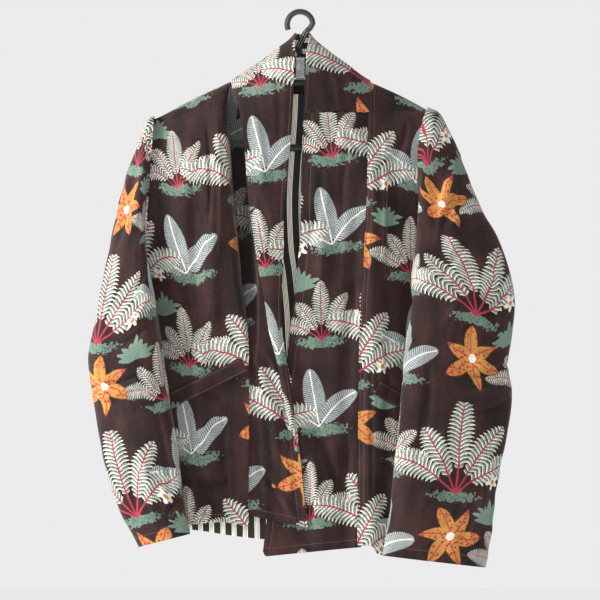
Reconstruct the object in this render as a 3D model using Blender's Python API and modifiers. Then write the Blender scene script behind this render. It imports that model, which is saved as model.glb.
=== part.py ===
"""Velvet band-collar jacket on a clothes hanger, built panel by panel as it is cut and sewn.

Frame: +Z up, +X towards the wearer's left, -Y towards the front.
The origin is the inner top of the hanger's hook, where a rail carries it.
All sizes and tables are in millimetres.
"""

import math

import bmesh
import bpy
import numpy as np
from mathutils import Vector

MM = 0.001

# Cloth and seams
VELVET_WALL = 2.0
LINING_WALL = 1.0
WELT_WALL = 1.6
SEAM_GAP = 0.3
TUCK_GAP = 1.5
LINING_GAP = 1.3
WELT_GAP = 1.8

# Hanger
HOOK_WIRE_RADIUS = 4.0
HOOK_BEND_RADIUS = 18.0
ARM_RADIUS = 5.0
HUB_SIZE = (14.0, 10.0, 31.0)
HUB_TOP = -59.5

# Depth of the body, front to back
BACK_DEPTH = 42.0
RIGHT_FRONT_DEPTH = 53.4
RIGHT_BAND_DEPTH = 50.0
LEFT_FRONT_DEPTH = 49.0
LEFT_BAND_DEPTH = 46.0
SHOULDER_ROLL = 14.0
SHOULDER_SPREAD = 160.0
ROWS_CROWD_UP = 1.6

# Sleeve heads: top and bottom of each armhole seam, and its half depth
RIGHT_ARMHOLE = {"top": -143.5, "bottom": -376.0, "half_depth": 36.0}
LEFT_ARMHOLE = {"top": -131.0, "bottom": -366.0, "half_depth": 36.0}
ARMHOLE_POWER = 2.2
HEAD_CLEARANCE = 4.9

# Neckline: where the collar meets the shoulder, and how deep the back neck is
NECK_RIGHT = -93.0
NECK_LEFT = 97.0
NECK_DEPTH = 38.0
NECK_TOP = -91.0
NECK_DIP = 2.5

# Shoulder line over the hanger's arms, by distance from the centre
SHOULDER_LINE = (
    # out, height
    (0, -82),
    (60, -84),
    (93, -93),
    (120, -104.2),
    (143, -115),
    (165, -126.6),
    (180, -135),
    (197, -143.8),
    (213, -150),
    (230, -158),
)

# Hanger loop, right half, from under the hub out along the arm and back along the bar
HANGER_LINE = (
    # out, height
    (0, -95.8),
    (20, -95.9),
    (40, -96.6),
    (60, -98.2),
    (93, -103),
    (120, -114.9),
    (143, -128),
    (165, -141.8),
    (180, -148),
    (190, -157.4),
    (194, -168),
    (190, -180),
    (178, -187),
    (130, -187),
    (60, -187),
    (0, -187),
)

# Hook wire from the hub to the start of its bend
HOOK_STEM = (
    # across, height
    (0, -59),
    (0, -55.5),
    (-1.6, -51),
    (-1.8, -46.5),
    (0.2, -40.5),
    (3.4, -34.5),
    (5.7, -28.5),
    (9.5, -23.5),
    (14.5, -18.5),
)
HOOK_BEND_DEGREES = (5.0, 205.0)

# Wearer's right front: side edge, crest of the roll beside the band, and the seam with the band
RIGHT_FRONT = (
    # height, side_x, crest_x, seam_x, seam_y
    (-93, -209, -108, -97, -9.5),
    (-120, -209, -112, -101, -10),
    (-150, -210, -111, -100, -11.5),
    (-190, -214, -108, -97, -15),
    (-260, -219, -103.5, -92.5, -19),
    (-330, -216.5, -97, -85.5, -23),
    (-358, -212, -94.5, -83, -25.5),
    (-372, -210.5, -93.5, -82, -27),
    (-400, -209, -90, -78, -33),
    (-440, -208.5, -86, -73, -43),
    (-470, -208, -83, -71.5, -50),
    (-520, -208, -80, -71, -53.4),
    (-720, -208, -80, -72, -53.4),
)
RIGHT_FRONT_HEM = (
    # across, height
    (-221, -724),
    (-190, -720),
    (-158, -715),
    (-108, -711),
    (-72, -717),
)
RIGHT_FRONT_TURN = 70.0

# Wearer's right band: its edge at the seam, where it comes up to the front, and the opening edge
RIGHT_BAND = (
    # height, seam_x, seam_y, rise_x, front_x
    (-108, -98.2, -10, -74, -9),
    (-128, -99.6, -10.5, -72, -10),
    (-190, -95.8, -14.5, -70, -14),
    (-260, -91.3, -18.5, -67, -22),
    (-330, -84.3, -22.5, -62, -23),
    (-400, -76.8, -32.2, -58, -26),
    (-440, -72.8, -40, -58, -25),
    (-472, -74, -46.2, -60, -21),
    (-505, -75, -48.9, -62, -15),
    (-540, -76, -50, -64, -11),
    (-582, -76, -50, -64, -5),
    (-617, -76, -50, -64, 0),
    (-686, -76, -50, -64, 7),
    (-720, -76, -50, -64, 11),
)
RIGHT_BAND_TOP = -108.0
RIGHT_BAND_HEM = (
    # across, height
    (-76, -700),
    (-60, -703),
    (-25, -711),
    (11, -718),
)

# Wearer's left front: its edge beside the band, and the side edge
LEFT_FRONT = (
    # height, seam_x, side_x
    (-96, 97, 186),
    (-150, 95.5, 182),
    (-195, 94.7, 177),
    (-256, 93, 173),
    (-300, 91, 174),
    (-330, 89.5, 180),
    (-345, 89, 182.5),
    (-358, 88.3, 183.5),
    (-372, 87.3, 185),
    (-400, 85, 189),
    (-500, 82, 197),
    (-745, 80, 205),
)
LEFT_FRONT_HEM = (
    # across, height
    (80, -746),
    (100, -744),
    (110, -756),
    (140, -757),
    (205, -748),
)
LEFT_FRONT_TURN = 100.0

# Wearer's left band: the opening edge and the edge tucked behind the left front
LEFT_BAND = (
    # height, front_x, seam_x
    (-137, 4, 101),
    (-190, 3, 100),
    (-260, 1, 98),
    (-316, 0, 95.5),
    (-354, -4, 93.5),
    (-390, -7, 91),
    (-428, -12, 89.5),
    (-490, -19, 87.5),
    (-540, -24, 86.5),
    (-610, -32, 86),
    (-680, -43, 85.5),
    (-760, -53, 85),
)
LEFT_BAND_TOP = -138.0
LEFT_BAND_HEM = (
    # across, height
    (-53, -759.5),
    (0, -754),
    (52, -749),
    (85, -746),
)

# Back: both side edges
BACK = (
    # height, right_x, left_x
    (-98, -209, 186),
    (-150, -210, 183),
    (-195, -214, 180),
    (-256, -219, 178),
    (-300, -218.5, 178.5),
    (-330, -216.5, 180),
    (-345, -215, 182.5),
    (-358, -212, 183.5),
    (-372, -210.5, 185),
    (-400, -209, 189),
    (-440, -208.5, 193.5),
    (-500, -208, 197),
    (-735, -208, 205),
)
BACK_HEM = (
    # across, height
    (-214, -722),
    (-158, -723),
    (-100, -731),
    (-46, -737),
    (40, -738),
    (130, -734),
    (205, -726),
)
BACK_TURN = 75.0
LINING_SIDE_CELLS = 1
LINING_TOP_CELLS = 2

# Collars, from the centre back round the neck to the front, one row a section
RIGHT_COLLAR = (
    # seam_x, seam_y, seam_z, edge_x, edge_y, edge_z
    (-0.15, 38.6, -88, -0.15, 17, -27),
    (-18, 37.4, -88, -5.5, 12, -26),
    (-50, 31, -89, -6.5, 3, -25.5),
    (-78, 16, -90.8, -6.5, -8, -26.5),
    (-94, 2, -91, -6.5, -20, -32),
    (-96, -14, -98, -7.5, -33, -50),
    (-90, -32, -115.5, -8.5, -43, -84),
    (-82, -46, -150, -10.5, -49, -132),
    (-76.5, -51.5, -200, -14.5, -52, -194),
    (-72, -52.8, -260, -22, -52.8, -258),
    (-61, -52.8, -339, -23, -52.8, -338),
    (-50, -52.8, -400, -26, -52.8, -400),
    (-43.5, -52.8, -444, -24.5, -52.8, -444),
    (-34, -52.8, -480, -19.5, -52.8, -480),
    (-25.5, -52.8, -525, -12, -52.8, -525),
    (-16, -52.8, -570, -6, -52.8, -570),
    (-7, -52.8, -612, -0.5, -52.8, -612),
)
LEFT_COLLAR = (
    # seam_x, seam_y, seam_z, edge_x, edge_y, edge_z
    (0.15, 38.6, -88, 0.15, 17, -27),
    (18, 37.4, -88, 10, 12, -26),
    (52, 31, -89, 13.5, 3, -25.5),
    (80, 16, -90.5, 14, -8, -27),
    (97, 2, -91.5, 13, -20, -34),
    (99, -13, -97.5, 9, -32, -56),
    (98, -19.5, -116.5, 7.5, -39, -92),
    (97, -27, -137, 4, -43, -137),
)

# Sleeves, from the head to the cuff: outer and inner edge of each ring, its half depth,
# and how far its front and its back reach towards the body
RIGHT_SLEEVE = (
    # outer_x, outer_y, outer_z, inner_x, inner_y, inner_z, half_depth, front_reach, back_reach
    (-205, 0, -142, -222, 0, -376, 36, 1.5, 1.5),
    (-214, -1, -147.8, -222, -3, -379, 37, 3, 1),
    (-226, -3, -176, -220, -12, -381, 40, 5.5, 0),
    (-240, -6, -215, -214, -24, -385, 41, 7.2, 0),
    (-254, -10, -268, -207, -36, -394, 42, 7.4, 0),
    (-265, -15, -325, -202, -46, -411, 41, 5, 0),
    (-274, -20, -380, -198, -52, -437, 39, 2, 0),
    (-283, -25, -430, -194, -57, -463, 36, 0, 0),
    (-295, -28, -473, -190, -60, -492, 33, 0, 0),
    (-294, -34, -503, -186, -63, -519, 32, 0, 0),
    (-287, -38, -542, -182, -65, -552, 29, 0, 0),
    (-279, -42, -589, -175, -67, -590, 27, 0, 0),
    (-271, -46, -632, -169, -68, -632, 26, 0, 0),
    (-258, -50, -677, -164, -68, -672, 25, 0, 0),
    (-244, -53, -710, -160, -68, -700, 23, 0, 0),
    (-225, -56, -745, -155, -68, -727, 20, 0, 0),
)
LEFT_SLEEVE = (
    # outer_x, outer_y, outer_z, inner_x, inner_y, inner_z, half_depth, front_reach, back_reach
    (180, 0, -130, 195, 0, -366, 34.5, 22, 13),
    (198, -3, -142, 197, -7, -372, 40, 30, 7),
    (219, -9, -184, 197, -24, -380, 42, 42, 0),
    (238, -16, -232, 186, -42, -388, 40, 38, 0),
    (252, -23, -268, 175, -55, -396, 37, 27, 0),
    (273, -28, -309, 164, -62, -409, 34, 15, 0),
    (292, -32, -355, 156, -66, -427, 31, 7, 0),
    (301, -35, -398, 150, -68, -449, 29, 2, 0),
    (297, -34, -449, 146, -68, -478, 28, 0, 0),
    (291, -37, -490, 144, -70, -507, 26, 0, 0),
    (297, -40, -532, 141, -71, -538, 25, 0, 0),
    (291, -43, -580, 137, -72, -580, 24, 0, 0),
    (280, -45, -634, 131, -73, -632, 24, 0, 0),
    (272, -47, -680, 126, -73, -684, 24, 0, 0),
    (268, -49, -722, 121, -73, -722, 23, 0, 0),
    (259, -51, -774, 116, -73, -757, 21, 0, 0),
)
SLEEVE_POWER = 2.5

# Largest folds. Each is a soft ridge, or a trough where rise is negative
RIGHT_FRONT_FOLDS = (
    # top_x, top_z, bottom_x, bottom_z, half_width, rise
    (-128, -150, -122, -400, 16, 4),
    (-150, -190, -146, -430, 15, -4),
    (-142, -430, -130, -730, 22, 5),
    (-108, -520, -102, -740, 16, -4),
)
RIGHT_BAND_FOLDS = (
    # top_x, top_z, bottom_x, bottom_z, half_width, rise
    (-52, -500, -48, -730, 14, 2),
)
LEFT_FRONT_FOLDS = (
    # top_x, top_z, bottom_x, bottom_z, half_width, rise
    (104, -150, 98, -760, 14, 3),
    (128, -200, 118, -760, 13, -4),
)
LEFT_BAND_FOLDS = (
    # top_x, top_z, bottom_x, bottom_z, half_width, rise
    (80, -250, 66, -520, 17, -5),
    (36, -180, 18, -470, 24, 3),
    (46, -540, 34, -770, 22, 3),
    (66, -560, 64, -770, 16, -4),
)
BACK_FOLDS = (
    # top_x, top_z, bottom_x, bottom_z, half_width, rise
    (-130, -260, -118, -750, 34, 6),
    (-62, -320, -66, -750, 30, -5),
    (12, -240, 6, -750, 36, 5),
    (74, -300, 80, -750, 30, -5),
    (128, -260, 140, -750, 32, 5),
)
FOLD_FADE = 70.0

# Pocket welts: the two ends of the slanting welt on each front, and its width
RIGHT_WELT = {"ends": ((-184, -544), (-78, -490)), "width": 21.0}
LEFT_WELT = {"ends": ((106, -524), (184, -563)), "width": 21.0}

# Grid of each piece: divisions across and down
GRID = {
    "front_right": (14, 22),
    "band_right": (7, 19),
    "front_left": (10, 22),
    "band_left": (8, 19),
    "back": (16, 22),
    "collar_right": (5, 28),
    "collar_left": (6, 14),
    "sleeve_right": (24, 18),
    "sleeve_left": (24, 20),
    "welt": (8, 2),
}

COLOURS = {
    "velvet": (0.045, 0.030, 0.028),
    "stripe": (0.32, 0.31, 0.28),
    "hanger": (0.012, 0.012, 0.013),
    "hub": (0.06, 0.06, 0.06),
}
ROUGHNESS = {"velvet": 0.9, "stripe": 0.85, "hanger": 0.45, "hub": 0.5}


def smooth_column(table, column, key, key_column=0):
    """A table's column read at a key by a cubic through its rows, held at both ends."""
    rows = sorted(table, key=lambda row: row[key_column])
    keys = [row[key_column] for row in rows]
    values = [row[column] for row in rows]
    if key <= keys[0]:
        return values[0]
    if key >= keys[-1]:
        return values[-1]
    i = max(j for j in range(len(keys) - 1) if keys[j] <= key)
    slopes = []
    for j in (i, i + 1):
        low, high = max(j - 1, 0), min(j + 1, len(keys) - 1)
        slopes.append((values[high] - values[low]) / (keys[high] - keys[low]))
    span = keys[i + 1] - keys[i]
    t = (key - keys[i]) / span
    return (
        values[i] * (1 + 2 * t) * (1 - t) ** 2
        + slopes[0] * span * t * (1 - t) ** 2
        + values[i + 1] * t * t * (3 - 2 * t)
        - slopes[1] * span * t * t * (1 - t)
    )


def smooth_row(table, share):
    """A whole row of a table whose rows are evenly numbered from 0 to 1."""
    numbered = [(i / (len(table) - 1), *row) for i, row in enumerate(table)]
    return [smooth_column(numbered, c + 1, share) for c in range(len(table[0]))]


def ease(t):
    """Goes from 0 to 1 fast at first, then levels off."""
    t = min(max(t, 0.0), 1.0)
    return 1 - (1 - t) ** 2


def soften(t):
    """Goes from 0 to 1 with a soft start and end."""
    t = min(max(t, 0.0), 1.0)
    return t * t * (3 - 2 * t)


def round_off(t):
    """Goes from 0 to 1 as a quarter circle does, level at 0 and upright at 1."""
    t = min(max(t, 0.0), 1.0)
    return 1 - math.sqrt(1 - t * t)


def crowded_up(v):
    """Shares of a panel's height that lie closer together near the shoulder."""
    return 1 - (1 - v) ** ROWS_CROWD_UP


def shoulder_height(x):
    return smooth_column(SHOULDER_LINE, 1, abs(x))


def shoulder_top(table, first, last, u):
    """Height at which a panel's column meets the shoulder line, found by going back and forth a few times."""
    z = table[0][0]
    for _ in range(6):
        start, end = smooth_column(table, first, z), smooth_column(table, last, z)
        z = shoulder_height(start + (end - start) * u)
    return z


def roll_over_shoulder(drop, depth):
    """Depth of the cloth at a drop below the shoulder line, where it turns over the hanger's arm."""
    if drop < SHOULDER_ROLL:
        return SHOULDER_ROLL * math.sqrt(max(0.0, 1 - (1 - drop / SHOULDER_ROLL) ** 2))
    return SHOULDER_ROLL + (depth - SHOULDER_ROLL) * ease((drop - SHOULDER_ROLL) / SHOULDER_SPREAD)


def armhole_depth(height, armhole, inset):
    """Half depth of the body at the armhole's edge. It is nothing above and below the armhole."""
    middle = (armhole["top"] + armhole["bottom"]) / 2
    half = (armhole["top"] - armhole["bottom"]) / 2 - inset
    off = abs(height - middle) / half
    if off >= 1:
        return 0.0
    return (armhole["half_depth"] - inset) * (1 - off**ARMHOLE_POWER) ** (1 / ARMHOLE_POWER)


def fold_rise(folds, x, z):
    """Height of all the folds at a place, each faded in and out along its length."""
    total = 0.0
    for top_x, top_z, bottom_x, bottom_z, half_width, rise in folds:
        along = (top_z - z) / (top_z - bottom_z)
        centre = top_x + (bottom_x - top_x) * along
        off = abs(x - centre) / half_width
        if off < 1:
            length = soften((top_z - z) / FOLD_FADE) * soften((z - bottom_z + FOLD_FADE) / FOLD_FADE)
            total += rise * (1 + math.cos(math.pi * off)) / 2 * length
    return total


def turned_side(across, turn, edge_depth, face_depth):
    """Depth of a panel that turns from its side edge to its face over a given width."""
    return edge_depth + (face_depth - edge_depth) * math.sin(min(across / turn, 1.0) * math.pi / 2)


def front_right(u, v):
    """Wearer's right front, u from the side to the band's seam and v from the hem to the shoulder."""
    hem_x = RIGHT_FRONT[-1][1] + (RIGHT_FRONT[-1][3] - RIGHT_FRONT[-1][1]) * u
    top, hem = shoulder_top(RIGHT_FRONT, 1, 3, u), smooth_column(RIGHT_FRONT_HEM, 1, hem_x)
    z = hem + (top - hem) * crowded_up(v)
    side_x, crest_x, seam_x, seam_y = (smooth_column(RIGHT_FRONT, c, z) for c in (1, 2, 3, 4))
    x = side_x + (seam_x - side_x) * u
    face = roll_over_shoulder(max(top - z, 0), RIGHT_FRONT_DEPTH + fold_rise(RIGHT_FRONT_FOLDS, x, z))
    edge = max(armhole_depth(z, RIGHT_ARMHOLE, HEAD_CLEARANCE), SEAM_GAP / 2)
    depth = turned_side(x - side_x, RIGHT_FRONT_TURN, edge, face)
    fall = round_off((x - crest_x) / (seam_x - crest_x))
    depth += (min(-seam_y, depth) - depth) * fall
    return x, -max(depth, SEAM_GAP / 2), z


def band_right(u, v):
    """Wearer's right band, u from the seam to the opening edge and v from the hem up."""
    hem_x = RIGHT_BAND[-1][1] + (RIGHT_BAND[-1][4] - RIGHT_BAND[-1][1]) * u
    hem = smooth_column(RIGHT_BAND_HEM, 1, hem_x)
    z = hem + (RIGHT_BAND_TOP - hem) * v
    seam_x, seam_y, rise_x, front_x = (smooth_column(RIGHT_BAND, c, z) for c in (1, 2, 3, 4))
    x = seam_x + (front_x - seam_x) * u
    depth = RIGHT_BAND_DEPTH + fold_rise(RIGHT_BAND_FOLDS, x, z)
    depth = 12 + (depth - 12) * ease((RIGHT_BAND_TOP - z + 6) / SHOULDER_SPREAD)
    floor = min(-seam_y, depth)
    return x, -(floor + (depth - floor) * round_off((x - seam_x) / (rise_x - seam_x))), z


def front_left(u, v):
    """Wearer's left front, u from the band to the side and v from the hem to the shoulder."""
    hem_x = LEFT_FRONT[-1][1] + (LEFT_FRONT[-1][2] - LEFT_FRONT[-1][1]) * u
    top, hem = shoulder_top(LEFT_FRONT, 1, 2, u), smooth_column(LEFT_FRONT_HEM, 1, hem_x)
    z = hem + (top - hem) * crowded_up(v)
    seam_x, side_x = (smooth_column(LEFT_FRONT, c, z) for c in (1, 2))
    x = seam_x + (side_x - seam_x) * u
    face = roll_over_shoulder(max(top - z, 0), LEFT_FRONT_DEPTH + fold_rise(LEFT_FRONT_FOLDS, x, z))
    edge = max(armhole_depth(z, LEFT_ARMHOLE, HEAD_CLEARANCE), SEAM_GAP / 2)
    depth = turned_side(side_x - x, LEFT_FRONT_TURN, edge, face)
    return x, -max(depth, SEAM_GAP / 2), z


def band_left(u, v):
    """Wearer's left band, u from the opening edge to its tucked edge and v from the hem up."""
    hem_x = LEFT_BAND[-1][1] + (LEFT_BAND[-1][2] - LEFT_BAND[-1][1]) * u
    hem = smooth_column(LEFT_BAND_HEM, 1, hem_x)
    z = hem + (LEFT_BAND_TOP - hem) * v
    front_x, seam_x = (smooth_column(LEFT_BAND, c, z) for c in (1, 2))
    x = front_x + (seam_x - front_x) * u
    depth = LEFT_BAND_DEPTH + fold_rise(LEFT_BAND_FOLDS, x, z)
    tucked = roll_over_shoulder(shoulder_height(x) - z, LEFT_FRONT_DEPTH) - VELVET_WALL - TUCK_GAP
    depth = min(depth, depth + (tucked - depth) * soften((x - seam_x + 45) / 40))
    depth = 33 + (depth - 33) * ease((LEFT_BAND_TOP - z + 70) / SHOULDER_SPREAD)
    return x, -min(depth, tucked + 40 * soften((seam_x - 8 - x) / 40)), z


def back(u, v):
    """Back, u from the wearer's left to the right and v from the hem to the shoulders and neck."""
    hem_x = BACK[-1][2] + (BACK[-1][1] - BACK[-1][2]) * u
    top = shoulder_top(BACK, 2, 1, u)
    right_x, left_x = (smooth_column(BACK, c, top) for c in (1, 2))
    top_x = left_x + (right_x - left_x) * u
    neck = NECK_LEFT if top_x > 0 else NECK_RIGHT
    in_neck = max(0.0, 1 - abs(top_x / neck) ** 2.4)
    if in_neck:
        top = min(top, NECK_TOP - NECK_DIP * (1 - in_neck))
    hem = smooth_column(BACK_HEM, 1, hem_x)
    z = hem + (top - hem) * crowded_up(v)
    right_x, left_x = (smooth_column(BACK, c, z) for c in (1, 2))
    x = left_x + (right_x - left_x) * u
    face = BACK_DEPTH + fold_rise(BACK_FOLDS, x, z)
    rolled = roll_over_shoulder(max(top - z, 0), face)
    face = max(rolled, NECK_DEPTH * in_neck + (face - NECK_DEPTH * in_neck) * ease((top - z) / SHOULDER_SPREAD))
    armhole = LEFT_ARMHOLE if x > 0 else RIGHT_ARMHOLE
    edge = max(armhole_depth(z, armhole, HEAD_CLEARANCE), SEAM_GAP / 2)
    depth = turned_side(min(x - right_x, left_x - x), BACK_TURN, edge, face)
    return x, max(depth, SEAM_GAP / 2), z


def collar(table, crown):
    """A collar's surface, u from its seam to its free edge and v from the front end to the centre back."""

    def surface(u, v):
        row = smooth_row(table, 1 - v)
        seam, edge = np.array(row[:3]), np.array(row[3:])
        point = seam + (edge - seam) * u
        point[1] -= crown * math.sin(math.pi * u) * soften((1 - v) * 3)
        return tuple(point)

    return surface


def sleeve(table, outwards):
    """A sleeve's surface, u round the ring from the inner edge and v from the cuff to the head."""

    def surface(u, v):
        row = smooth_row(table, 1 - v)
        outer, inner = np.array(row[:3]), np.array(row[3:6])
        half_depth, front_reach, back_reach = row[6:]
        centre, half = (outer + inner) / 2, (outer - inner) / 2
        depthwise = np.array((0.0, 1.0, 0.0))
        along = half / np.linalg.norm(half)
        depthwise = depthwise - along * along[1]
        depthwise /= np.linalg.norm(depthwise)
        angle = 2 * math.pi * u * outwards
        across, through = -math.cos(angle), -math.sin(angle)
        across = math.copysign(abs(across) ** (2 / SLEEVE_POWER), across)
        through = math.copysign(abs(through) ** (2 / SLEEVE_POWER), through)
        point = centre + half * across + depthwise * (half_depth * through)
        reach = front_reach if through < 0 else back_reach
        share = through**2 if across > 0 else 1 - (1 - abs(through)) ** 3
        point[0] -= outwards * reach * share
        return tuple(point)

    return surface


def moved_out(surface, distance):
    """A surface moved along its own normal, for what lies on or under a panel."""
    step = 1e-3

    def moved(u, v):
        here = np.array(surface(u, v))
        across = np.array(surface(min(u + step, 1), v)) - np.array(surface(max(u - step, 0), v))
        up = np.array(surface(u, min(v + step, 1))) - np.array(surface(u, max(v - step, 0)))
        normal = np.cross(across, up)
        return tuple(here + normal / np.linalg.norm(normal) * distance)

    return moved


def part_of(surface, low_u, high_u, low_v, high_v):
    """A rectangle cut out of a surface's own sheet."""

    def cut(u, v):
        return surface(low_u + (high_u - low_u) * u, low_v + (high_v - low_v) * v)

    return cut


def welt_on(panel, welt):
    """A slanting strip on a front panel: the panel's own points under the strip, moved out."""
    (start_x, start_z), (end_x, end_z) = welt["ends"]
    slope = math.atan2(end_z - start_z, end_x - start_x)

    def place(u, v):
        aside = (v - 0.5) * welt["width"]
        x = start_x + (end_x - start_x) * u - math.sin(slope) * aside
        z = start_z + (end_z - start_z) * u + math.cos(slope) * aside
        return on_panel(panel, x, z)

    return moved_out(place, WELT_GAP + WELT_WALL)


def on_panel(panel, x, z):
    """The panel's point straight behind a place on its front, found by halving in u and v."""
    u, v = 0.5, 0.5
    for _ in range(8):
        v = bisect(lambda s: panel(u, s)[2], z)
        u = bisect(lambda s: panel(s, v)[0], x)
    return panel(u, v)


def bisect(height_at, wanted):
    """Where a rising function of 0 to 1 takes the wanted value."""
    low, high = 0.0, 1.0
    for _ in range(30):
        middle = (low + high) / 2
        if height_at(middle) < wanted:
            low = middle
        else:
            high = middle
    return (low + high) / 2


def material(name, kind):
    made = bpy.data.materials.new(name)
    made.use_nodes = True
    shader = made.node_tree.nodes["Principled BSDF"]
    shader.inputs["Base Color"].default_value = (*COLOURS[kind], 1)
    shader.inputs["Roughness"].default_value = ROUGHNESS[kind]
    shader.inputs["Metallic"].default_value = 0.0
    return made


def keep(obj, name, kind, collection):
    obj.name = obj.data.name = name
    obj.data.materials.clear()
    obj.data.materials.append(material(name, kind))
    for other in obj.users_collection:
        other.objects.unlink(obj)
    collection.objects.link(obj)
    return obj


def sewn_sheet(name, surface, grid, wall, kind, collection, tube=False, seam_side=None):
    """A grid of cloth laid on a surface, sewn into a tube if it is one, and given its thickness.

    A seam side, such as (1, -1), keeps the cloth on one side of a seam plane: axis 1, negative side.
    """
    bpy.ops.mesh.primitive_grid_add(x_subdivisions=grid[0], y_subdivisions=grid[1], size=1)
    obj = bpy.context.object
    for vertex in obj.data.vertices:
        vertex.co = Vector(surface(vertex.co.x + 0.5, vertex.co.y + 0.5)) * MM
    if tube:
        sheet = bmesh.new()
        sheet.from_mesh(obj.data)
        bmesh.ops.remove_doubles(sheet, verts=sheet.verts, dist=0.01 * MM)
        sheet.to_mesh(obj.data)
        sheet.free()
    obj.data.shade_smooth()
    thickness = obj.modifiers.new("cloth thickness", "SOLIDIFY")
    thickness.thickness = wall * MM
    thickness.offset = -1
    thickness.use_even_offset = not tube
    if seam_side:
        axis, side = seam_side
        bpy.ops.object.modifier_apply(modifier=thickness.name)
        for vertex in obj.data.vertices:
            vertex.co[axis] = side * max(side * vertex.co[axis], SEAM_GAP / 2 * MM)
    return keep(obj, name, kind, collection)


def round_wire(name, points, radius, closed, kind, collection):
    """A bent rod through points given across and up, in the hanger's plane."""
    curve = bpy.data.curves.new(name, "CURVE")
    curve.dimensions = "3D"
    curve.bevel_depth = radius * MM
    curve.bevel_resolution = 2
    curve.use_fill_caps = True
    line = curve.splines.new("POLY")
    line.points.add(len(points) - 1)
    for point, (x, z) in zip(line.points, points):
        point.co = (x * MM, 0, z * MM, 1)
    line.use_cyclic_u = closed
    obj = bpy.data.objects.new(name, curve)
    bpy.context.scene.collection.objects.link(obj)
    return keep(obj, name, kind, collection)


def finer(points, pieces):
    """Points on a smooth curve through hand-set ones, several to each stretch."""
    numbered = [(i, *point) for i, point in enumerate(points)]
    count = (len(points) - 1) * pieces
    places = [i / pieces for i in range(count + 1)]
    return [tuple(smooth_column(numbered, c, place) for c in (1, 2)) for place in places]


def hanger(collection):
    """Hook, hub and the loop of arms and bar."""
    start, end = (math.radians(a) for a in HOOK_BEND_DEGREES)
    steps = 16
    bend = [
        (HOOK_BEND_RADIUS * math.cos(a), HOOK_BEND_RADIUS * (math.sin(a) - 1) + HOOK_WIRE_RADIUS)
        for a in (start + (end - start) * i / steps for i in range(steps + 1))
    ]
    round_wire("hanger_hook", finer(HOOK_STEM, 2) + bend, HOOK_WIRE_RADIUS, False, "hanger", collection)
    half = finer(HANGER_LINE, 2)
    loop = half + [(-x, z) for x, z in reversed(half[1:-1])]
    round_wire("hanger_frame", loop, ARM_RADIUS, True, "hanger", collection)
    bpy.ops.mesh.primitive_cube_add(size=1)
    hub = bpy.context.object
    middle = Vector((0.5, 0, HUB_TOP - HUB_SIZE[2] / 2))
    for vertex in hub.data.vertices:
        vertex.co = (Vector(a * b for a, b in zip(vertex.co, HUB_SIZE)) + middle) * MM
    rounding = hub.modifiers.new("rounded edges", "BEVEL")
    rounding.width = 1.5 * MM
    rounding.segments = 2
    keep(hub, "hanger_hub", "hub", collection)


def jacket(collection):
    """Every cut panel of the jacket, in the order in which it is sewn."""
    sheets = (
        ("back", back, (1, 1)),
        ("front_right", front_right, (1, -1)),
        ("front_left", front_left, (1, -1)),
        ("band_right", band_right, None),
        ("band_left", band_left, None),
        ("collar_right", collar(RIGHT_COLLAR, 3.0), (0, -1)),
        ("collar_left", turned(collar(LEFT_COLLAR, 3.0)), (0, 1)),
    )
    for name, surface, seam_side in sheets:
        sewn_sheet(name, surface, GRID[name], VELVET_WALL, "velvet", collection, seam_side=seam_side)
    under = moved_out(back, -VELVET_WALL - LINING_GAP)
    across, down = GRID["back"]
    side, top = LINING_SIDE_CELLS / across, LINING_TOP_CELLS / down
    lining = part_of(under, side, 1 - side, 0, 1 - top)
    cells = (across - 2 * LINING_SIDE_CELLS, down - LINING_TOP_CELLS)
    sewn_sheet("back_lining", lining, cells, LINING_WALL, "stripe", collection)
    for name, table, outwards in (("sleeve_right", RIGHT_SLEEVE, -1), ("sleeve_left", LEFT_SLEEVE, 1)):
        sewn_sheet(name, sleeve(table, outwards), GRID[name], VELVET_WALL, "velvet", collection, tube=True)
    for name, panel, welt in (
        ("pocket_welt_right", front_right, RIGHT_WELT),
        ("pocket_welt_left", front_left, LEFT_WELT),
    ):
        sewn_sheet(name, welt_on(panel, welt), GRID["welt"], WELT_WALL, "velvet", collection)


def turned(surface):
    """The same surface with its other side out."""
    return lambda u, v: surface(1 - u, v)


def main():
    for obj in list(bpy.data.objects):
        bpy.data.objects.remove(obj)
    collection = bpy.data.collections.new("velvet_jacket")
    bpy.context.scene.collection.children.link(collection)
    hanger(collection)
    jacket(collection)


main()
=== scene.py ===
"""Looks of a printed velvet jacket on a clothes hanger.

Each velvet panel is a fine sheet on the same sections as its solid, with its listed creases laid on,
a thickness, a striped inner face and its lines of stitching.
Frame: +Z up, +X towards the wearer's left, -Y towards the front. Sizes and tables are in millimetres.
"""

import functools
import math

import bpy
import numpy as np
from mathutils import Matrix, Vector


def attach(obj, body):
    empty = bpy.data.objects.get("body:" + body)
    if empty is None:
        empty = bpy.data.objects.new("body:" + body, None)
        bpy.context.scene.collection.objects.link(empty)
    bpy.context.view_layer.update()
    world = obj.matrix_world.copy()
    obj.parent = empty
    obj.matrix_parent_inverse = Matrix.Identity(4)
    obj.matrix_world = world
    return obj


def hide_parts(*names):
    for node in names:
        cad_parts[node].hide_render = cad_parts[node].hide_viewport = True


MM = 0.001

# Cloth and seams
VELVET_WALL = 2.0
LINING_WALL = 1.0
WELT_WALL = 1.6
SEAM_GAP = 0.3
TUCK_GAP = 1.5
LINING_GAP = 1.3
WELT_GAP = 1.8

# Depth of the body, front to back
BACK_DEPTH = 42.0
RIGHT_FRONT_DEPTH = 53.4
RIGHT_BAND_DEPTH = 50.0
LEFT_FRONT_DEPTH = 49.0
LEFT_BAND_DEPTH = 46.0
SHOULDER_ROLL = 14.0
SHOULDER_SPREAD = 160.0
ROWS_CROWD_UP = 1.6

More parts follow.
